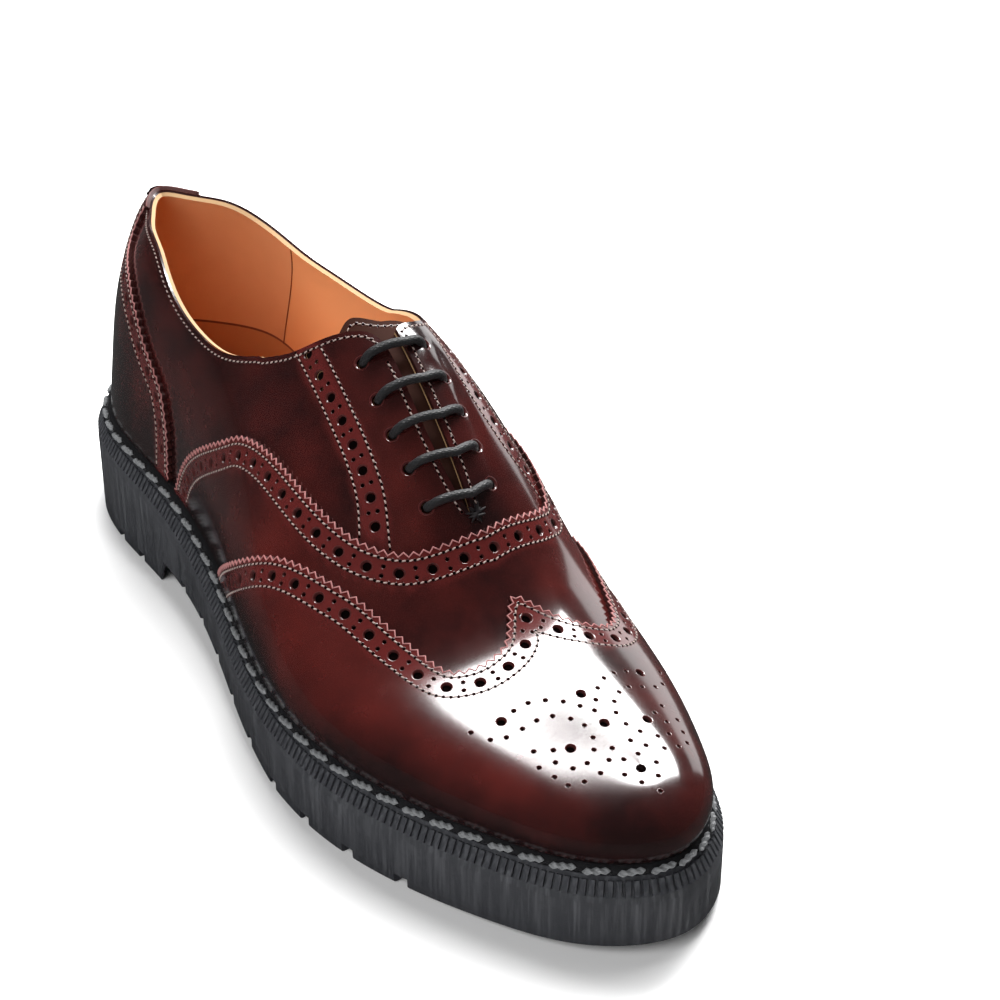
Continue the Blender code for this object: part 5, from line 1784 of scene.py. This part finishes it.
# %% Counter, tongue and tab stitches
TONGUE_ROW, TAB_ROW = 0.0020, 0.012
counter_rows = []
for offset in (0.0015, 0.0079):
    path = beside(visible, -offset, COUNTER_LIFT)
    counter_rows += [(path, COUNTER_LIFT), (mirrored(path), COUNTER_LIFT)]
sew("counter", counter_rows)
sew("tongue", [(beside(tongue_edge, TONGUE_ROW, TONGUE_LIFT), TONGUE_LIFT)])
tab_row = np.c_[np.linspace(0.0, TAB_PLACE / 2, 12), np.full(12, TAB_TOP - TAB_BELOW + TAB_ROW)]
sew("tab", [(tab_row, TAB_LIFT), (mirrored(tab_row), TAB_LIFT)])

# %% [markdown]
# ## Eyelets, bar tack and lace
# The eyelets are blind: only a thin pressed lip shows.  The black waxed cord comes up through one, lies
# over the throat as a flat arch and goes down through its partner.  A few crossed black stitches close
# the foot of the throat.

# %% Eyelet lips and bar tack
eye_points = skin(eyes[:, 0], eyes[:, 1], UPPER_LIFT)
eye_normals = skin_normal(eyes[:, 0], eyes[:, 1], UPPER_LIFT)
eye_side = np.cross(eye_normals, (0.2, 0.9, 0.3))
lay("eyelet_lips", lip_shape, pressed_mat, "leather", eye_points, eye_side, eye_normals,
    (0.0021, 0.0021, 0.0018))

TACK = table("turn shift", (4, -0.5), (25, 0.7), (52, -0.9), (71, 0.2), (88, 1.0), (105, -0.3), (131, 0.6),
             (158, -0.8))
TACK_SHIFT, TACK_LOW, TACK_HIGH = 0.0007, 0.0002, 0.0008
tack_x, tack_y = np.array([SLIT_END + 0.003]), np.array([1.0])
tack_point = skin(tack_x, tack_y, UPPER_LIFT)[0]
tack_normal = skin_normal(tack_x, tack_y, UPPER_LIFT)[0]
tack_ahead = unit(skin(tack_x + 0.002, tack_y, UPPER_LIFT) - tack_point)[0]
tack_side = np.cross(tack_normal, tack_ahead)
turns = np.radians(TACK["turn"])[:, None]
shift = TACK["shift"][:, None] * TACK_SHIFT
rise = np.linspace(TACK_LOW, TACK_HIGH, len(turns))[:, None]
tack_points = tack_point + tack_normal * rise + shift * tack_ahead - shift[::-1] * tack_side
tack_ways = np.cos(turns) * tack_ahead + np.sin(turns) * tack_side
lay("bar_tack", stitch_shape, dark_thread_mat, "lace", tack_points, tack_ways, tack_normal,
    (0.0052, 0.0008, 0.0008))

# %% Lace
LACE_THICK = 0.00132
LACE_CLEAR, LACE_ARCH = 0.0001, 0.0005      # over the leather at the eyelets, and more in the middle
DIVE, DIVE_DEEP, DIVE_BEND = 0.0042, 0.0026, 1.6    # how the cord goes down into an eyelet


def lace_path(start, finish):
    """Up through one eyelet, over the throat and down through the other."""
    share = np.linspace(0, 1, 61)
    flat = np.array(start) * (1 - share)[:, None] + np.array(finish) * share[:, None]
    base = skin(flat[:, 0], flat[:, 1], 0.0)
    run = run_of(base)
    near = np.minimum(run, run[-1] - run)
    over = UPPER_LIFT + LACE_THICK + LACE_CLEAR
    fall = np.clip(1 - near / DIVE, 0, 1)
    lift = over - (over + DIVE_DEEP) * fall ** DIVE_BEND + LACE_ARCH * np.sin(np.pi * share)
    return base + skin_normal(flat[:, 0], flat[:, 1], 0.0) * lift[:, None]


def tube(name, paths, radius, finish, sides=14):
    """Round cord along paths, with U round it and V along it in metres."""
    verts, faces, uvs = [], [], []
    for path in paths:
        base, rings = len(verts), len(path)
        ahead = unit(np.gradient(path, axis=0))
        side = unit(np.cross(ahead, (0.1, 0.3, 1.0)))
        up = np.cross(side, ahead)
        run = run_of(path)
        for p, s, u in zip(path, side, up):
            verts += [p + radius * (math.cos(a) * s + math.sin(a) * u) for a in turned_angles(sides)]
        faces += [[base + i for i in face] for face in ring_quads(rings, sides) + caps(rings, sides)]
        for low, high in zip(run[:-1], run[1:]):
            for left, right in ((k / sides, (k + 1) / sides) for k in range(sides)):
                uvs += [(left, low), (right, low), (right, high), (left, high)]
        uvs += [(0, 0)] * (2 * sides)
    made = as_object(name, verts, faces, finish)
    made.data.uv_layers.new(name="cord").data.foreach_set("uv", np.array(uvs).ravel())
    face_outward(made)
    shade_smooth(made, corners=4)
    return made


lace = tube("lace", [lace_path(a, b) for a, b in zip(outer_eyes, inner_eyes)], LACE_THICK, cord_mat)
finish_piece(lace, "lace", *[f"lace_bar_{n}" for n in range(1, 6)])

# %% [markdown]
# ## Welt
# The welt is a polished strip that runs right round, with long grey stitches of twisted thread in the
# gutter between it and the sole.  It could be a bent strip of its own; lofted from the sole's edge, it
# follows the sole by itself, and the row tree lays its stitches.


# %% Rings round the sole
def round_sole(count):
    """Evenly spread places round the sole's edge."""
    return np.arange(count) * 2 / count


def sole_ring(places, inset, height):
    """A ring of points at an inset from the sole's edge."""
    edge, normal, along = edge_at(places)
    return to_world(np.c_[edge - normal * inset, height(along)])


def over_widest(height):
    """Height over the sole's widest line."""
    return lambda along: widest_height(along) + height


def loft(name, rings, finish, loop=False):
    """Quads between rings, closed as a tube or capped at both ends."""
    n = len(rings[0])
    faces = ring_quads(len(rings), n, loop) + ([] if loop else caps(len(rings), n))
    made = as_object(name, np.concatenate(rings), faces, finish)
    face_outward(made)
    shade_smooth(made, corners=4)
    return made


print("sole edge is", round(GIRTH, 4), "m round")

# %% Welt
WELT_STEPS = 420
WELT_PROFILE = table(
    "inset height",
    (0.0034, 0.0045), (0.0030, 0.0048), (0.0030, 0.0054), (0.0034, 0.0061), (0.0041, 0.0068),
    (0.0049, 0.0073), (0.0058, 0.0075), (0.0070, 0.0075), (0.0090, 0.0074), (0.0092, 0.0070),
    (0.0092, 0.0045))
welt_rings = [sole_ring(round_sole(WELT_STEPS), inset, over_widest(height))
              for inset, height in zip(*WELT_PROFILE.values())]
welt = loft("welt_strip", welt_rings, welt_mat, loop=True)
finish_piece(welt, "rubber", "welt")


# %% Welt stitches
def rope(name, rings=13, sides=8, strands=2, turns=3.0, thick=0.40, twist=0.26):
    """One long stitch of twisted thread along X."""
    verts = []
    for x in np.linspace(-0.5, 0.5, rings):
        body = math.sqrt(max(1 - (2 * x) ** 4, 0.02)) * thick
        for a in turned_angles(sides):
            radius = body * (1 + twist * math.cos(strands * a - 2 * math.pi * turns * x))
            verts.append((x, radius * math.cos(a), radius * math.sin(a)))
    made = as_object(name, verts, ring_quads(rings, sides) + caps(rings, sides), shown=False)
    face_outward(made)
    return made


WELT_STITCH, WELT_STITCH_SIZE, WELT_LEAN = 0.0090, (0.0072, 0.0021, 0.0019), 0.12
rope_shape = rope("rope_shape")
between = 3                                 # ring points to a stitch, for a true step ahead
places = round_sole(int(round(GIRTH / WELT_STITCH)) * between)
line = sole_ring(places, 0.0030, over_widest(0.0058))
deep = sole_ring(places, 0.0040, over_widest(0.0050))
step = unit(np.roll(line, -1, 0) - np.roll(line, 1, 0))
out = line - deep
out = unit(out - step * (out * step).sum(1, keepdims=True))
lean = step + WELT_LEAN * np.cross(out, step)
lay("welt_stitches", rope_shape, welt_thread_mat, "rubber", line[::between], lean[::between], out[::between],
    WELT_STITCH_SIZE)

# %% [markdown]
# ## Sole
# The sole is moulded in one: smooth and scraped below, ribbed above, with grooves across the tread.  Its
# side is lofted through rings from the ground up, one knife cuts all grooves, and the ribs are one small
# bar laid round the edge by the row tree.

# %% Outsole
SOLE_STEPS = 600
EDGE_ROUND, EDGE_ROUND_IN = 0.0007, 0.3     # rounding of the lower edge, and where its middle ring lies
SIDE = table(
    "inset height",
    (0.0000, -0.0026), (0.0003, -0.0021), (0.0004, -0.0010), (0.0007, -0.0004), (0.0016, 0.0012),
    (0.0025, 0.0028), (0.0031, 0.0037), (0.0034, 0.0042))
GROOVE_FIRST, GROOVE_LAST, GROOVE_COUNT = 0.33, 0.81, 9
HEEL_GROOVES = (0.165, 0.215)
GROOVE_WIDTH, GROOVE_DEPTH, GROOVE_REACH = 0.0042, 0.0030, 0.075
CHEVRON = table("across forward", (-1.0, 0.0), (-0.22, 0.0), (0.0, 0.0065), (0.22, 0.0), (1.0, 0.0))


def over_ground(height, share=0.0):
    """Height over the ground, moved by a share towards the foot of the sole's side."""
    foot = over_widest(SIDE["height"][0])
    return lambda along: (ground(along) + height) * (1 - share) + foot(along) * share


def groove_tool():
    """Chevron grooves across the tread and straight ones at the front of the heel."""
    verts, faces = [], []
    runs = [(a, 1.0) for a in np.linspace(GROOVE_FIRST, GROOVE_LAST, GROOVE_COUNT)]
    runs += [(a, 0.0) for a in HEEL_GROOVES]
    for along, chevron in runs:
        base, rings = len(verts), len(CHEVRON["across"])
        for across, forward in zip(*CHEVRON.values()):
            y = along * LENGTH + forward * chevron
            roof = float(ground(y / LENGTH)) + GROOVE_DEPTH
            for shift, z in ((-0.5, -GROOVE_DEPTH), (-0.5, roof), (0.5, roof), (0.5, -GROOVE_DEPTH)):
                verts.append(to_world((across * GROOVE_REACH, y + shift * GROOVE_WIDTH, z)))
        faces += [[base + i for i in face] for face in ring_quads(rings, 4) + caps(rings, 4)]
    made = as_object("groove_tool", verts, faces, shown=False)
    face_outward(made)
    return made


middle = EDGE_ROUND * EDGE_ROUND_IN
side_rows = [(EDGE_ROUND, over_ground(0.0)), (middle, over_ground(middle))]
side_rows += [(0.0, over_ground(EDGE_ROUND, share)) for share in (0.0, 0.33, 0.67)]
side_rows += [(inset, over_widest(height)) for inset, height in zip(*SIDE.values())]
sole_rings = [sole_ring(round_sole(SOLE_STEPS), inset, height) for inset, height in side_rows]
sole = loft("sole", sole_rings, rubber_mat)
grooves = groove_tool()
trim(sole, grooves, "DIFFERENCE")
settled(sole)
drop(grooves)
sole.data.set_sharp_from_angle(angle=math.radians(38))
finish_piece(sole, "rubber", "outsole")

# %% Ribs
RIB_PITCH, RIB_WIDE, RIB_THICK, RIB_LIFT = 0.0022, 0.00165, 0.0012, 0.0001
RIB_FOOT, RIB_HEAD = (0.0006, -0.0004), (0.0028, 0.0034)    # inset and height over the widest line
bar_corners = [(x * far_x, y * far_y, z) for z, far_x, far_y in ((-0.5, 0.5, 0.5), (0.5, 0.46, 0.40))
               for x, y in ((-1, -1), (1, -1), (1, 1), (-1, 1))]
bar_shape = as_object("bar_shape", bar_corners, ring_quads(2, 4) + caps(2, 4), shown=False)
count = int(round(GIRTH / RIB_PITCH))
places = round_sole(count)
low, high = (sole_ring(places, inset, over_widest(height)) for inset, height in (RIB_FOOT, RIB_HEAD))
up = high - low
tall = np.linalg.norm(up, axis=1)
out = np.cross(up, np.roll(low, -1, 0) - np.roll(low, 1, 0))
sideways = edge_at(places)[1] * (1, -1)
out = unit(out * np.sign((out[:, :2] * sideways).sum(1))[:, None])
lay("sole_ribs", bar_shape, rubber_mat, "rubber", (low + high) / 2 + out * RIB_LIFT, unit(up), out,
    np.c_[tall, np.full(count, RIB_WIDE), np.full(count, RIB_THICK)])

# %% [markdown]
# ## Insole and lining
# The insole's board is the solid itself and only takes the lining's tan.  On the inner side a row of brown
# stitches joins the front and the back of the lining; it is laid on the inner face of the upper.

# %% Insole and lining seam
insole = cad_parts["insole"].data
insole.materials.clear()
insole.materials.append(lining_mat)
inside = UPPER_LIFT - UPPER_WALL - 0.00012
seam_x, seam_y = np.linspace(0.250, 0.190, 50), 2 - np.linspace(0.645, 0.18, 50)
seam_points = skin(seam_x, seam_y, inside)
lay("lining_seam", stitch_shape, brown_mat, "lining", seam_points, np.gradient(seam_points, axis=0),
    -skin_normal(seam_x, seam_y, inside), (0.0018, 0.0005, 0.0004))
drop(stitch_shape, disc_shape, lip_shape, needle_shape, rope_shape, bar_shape)
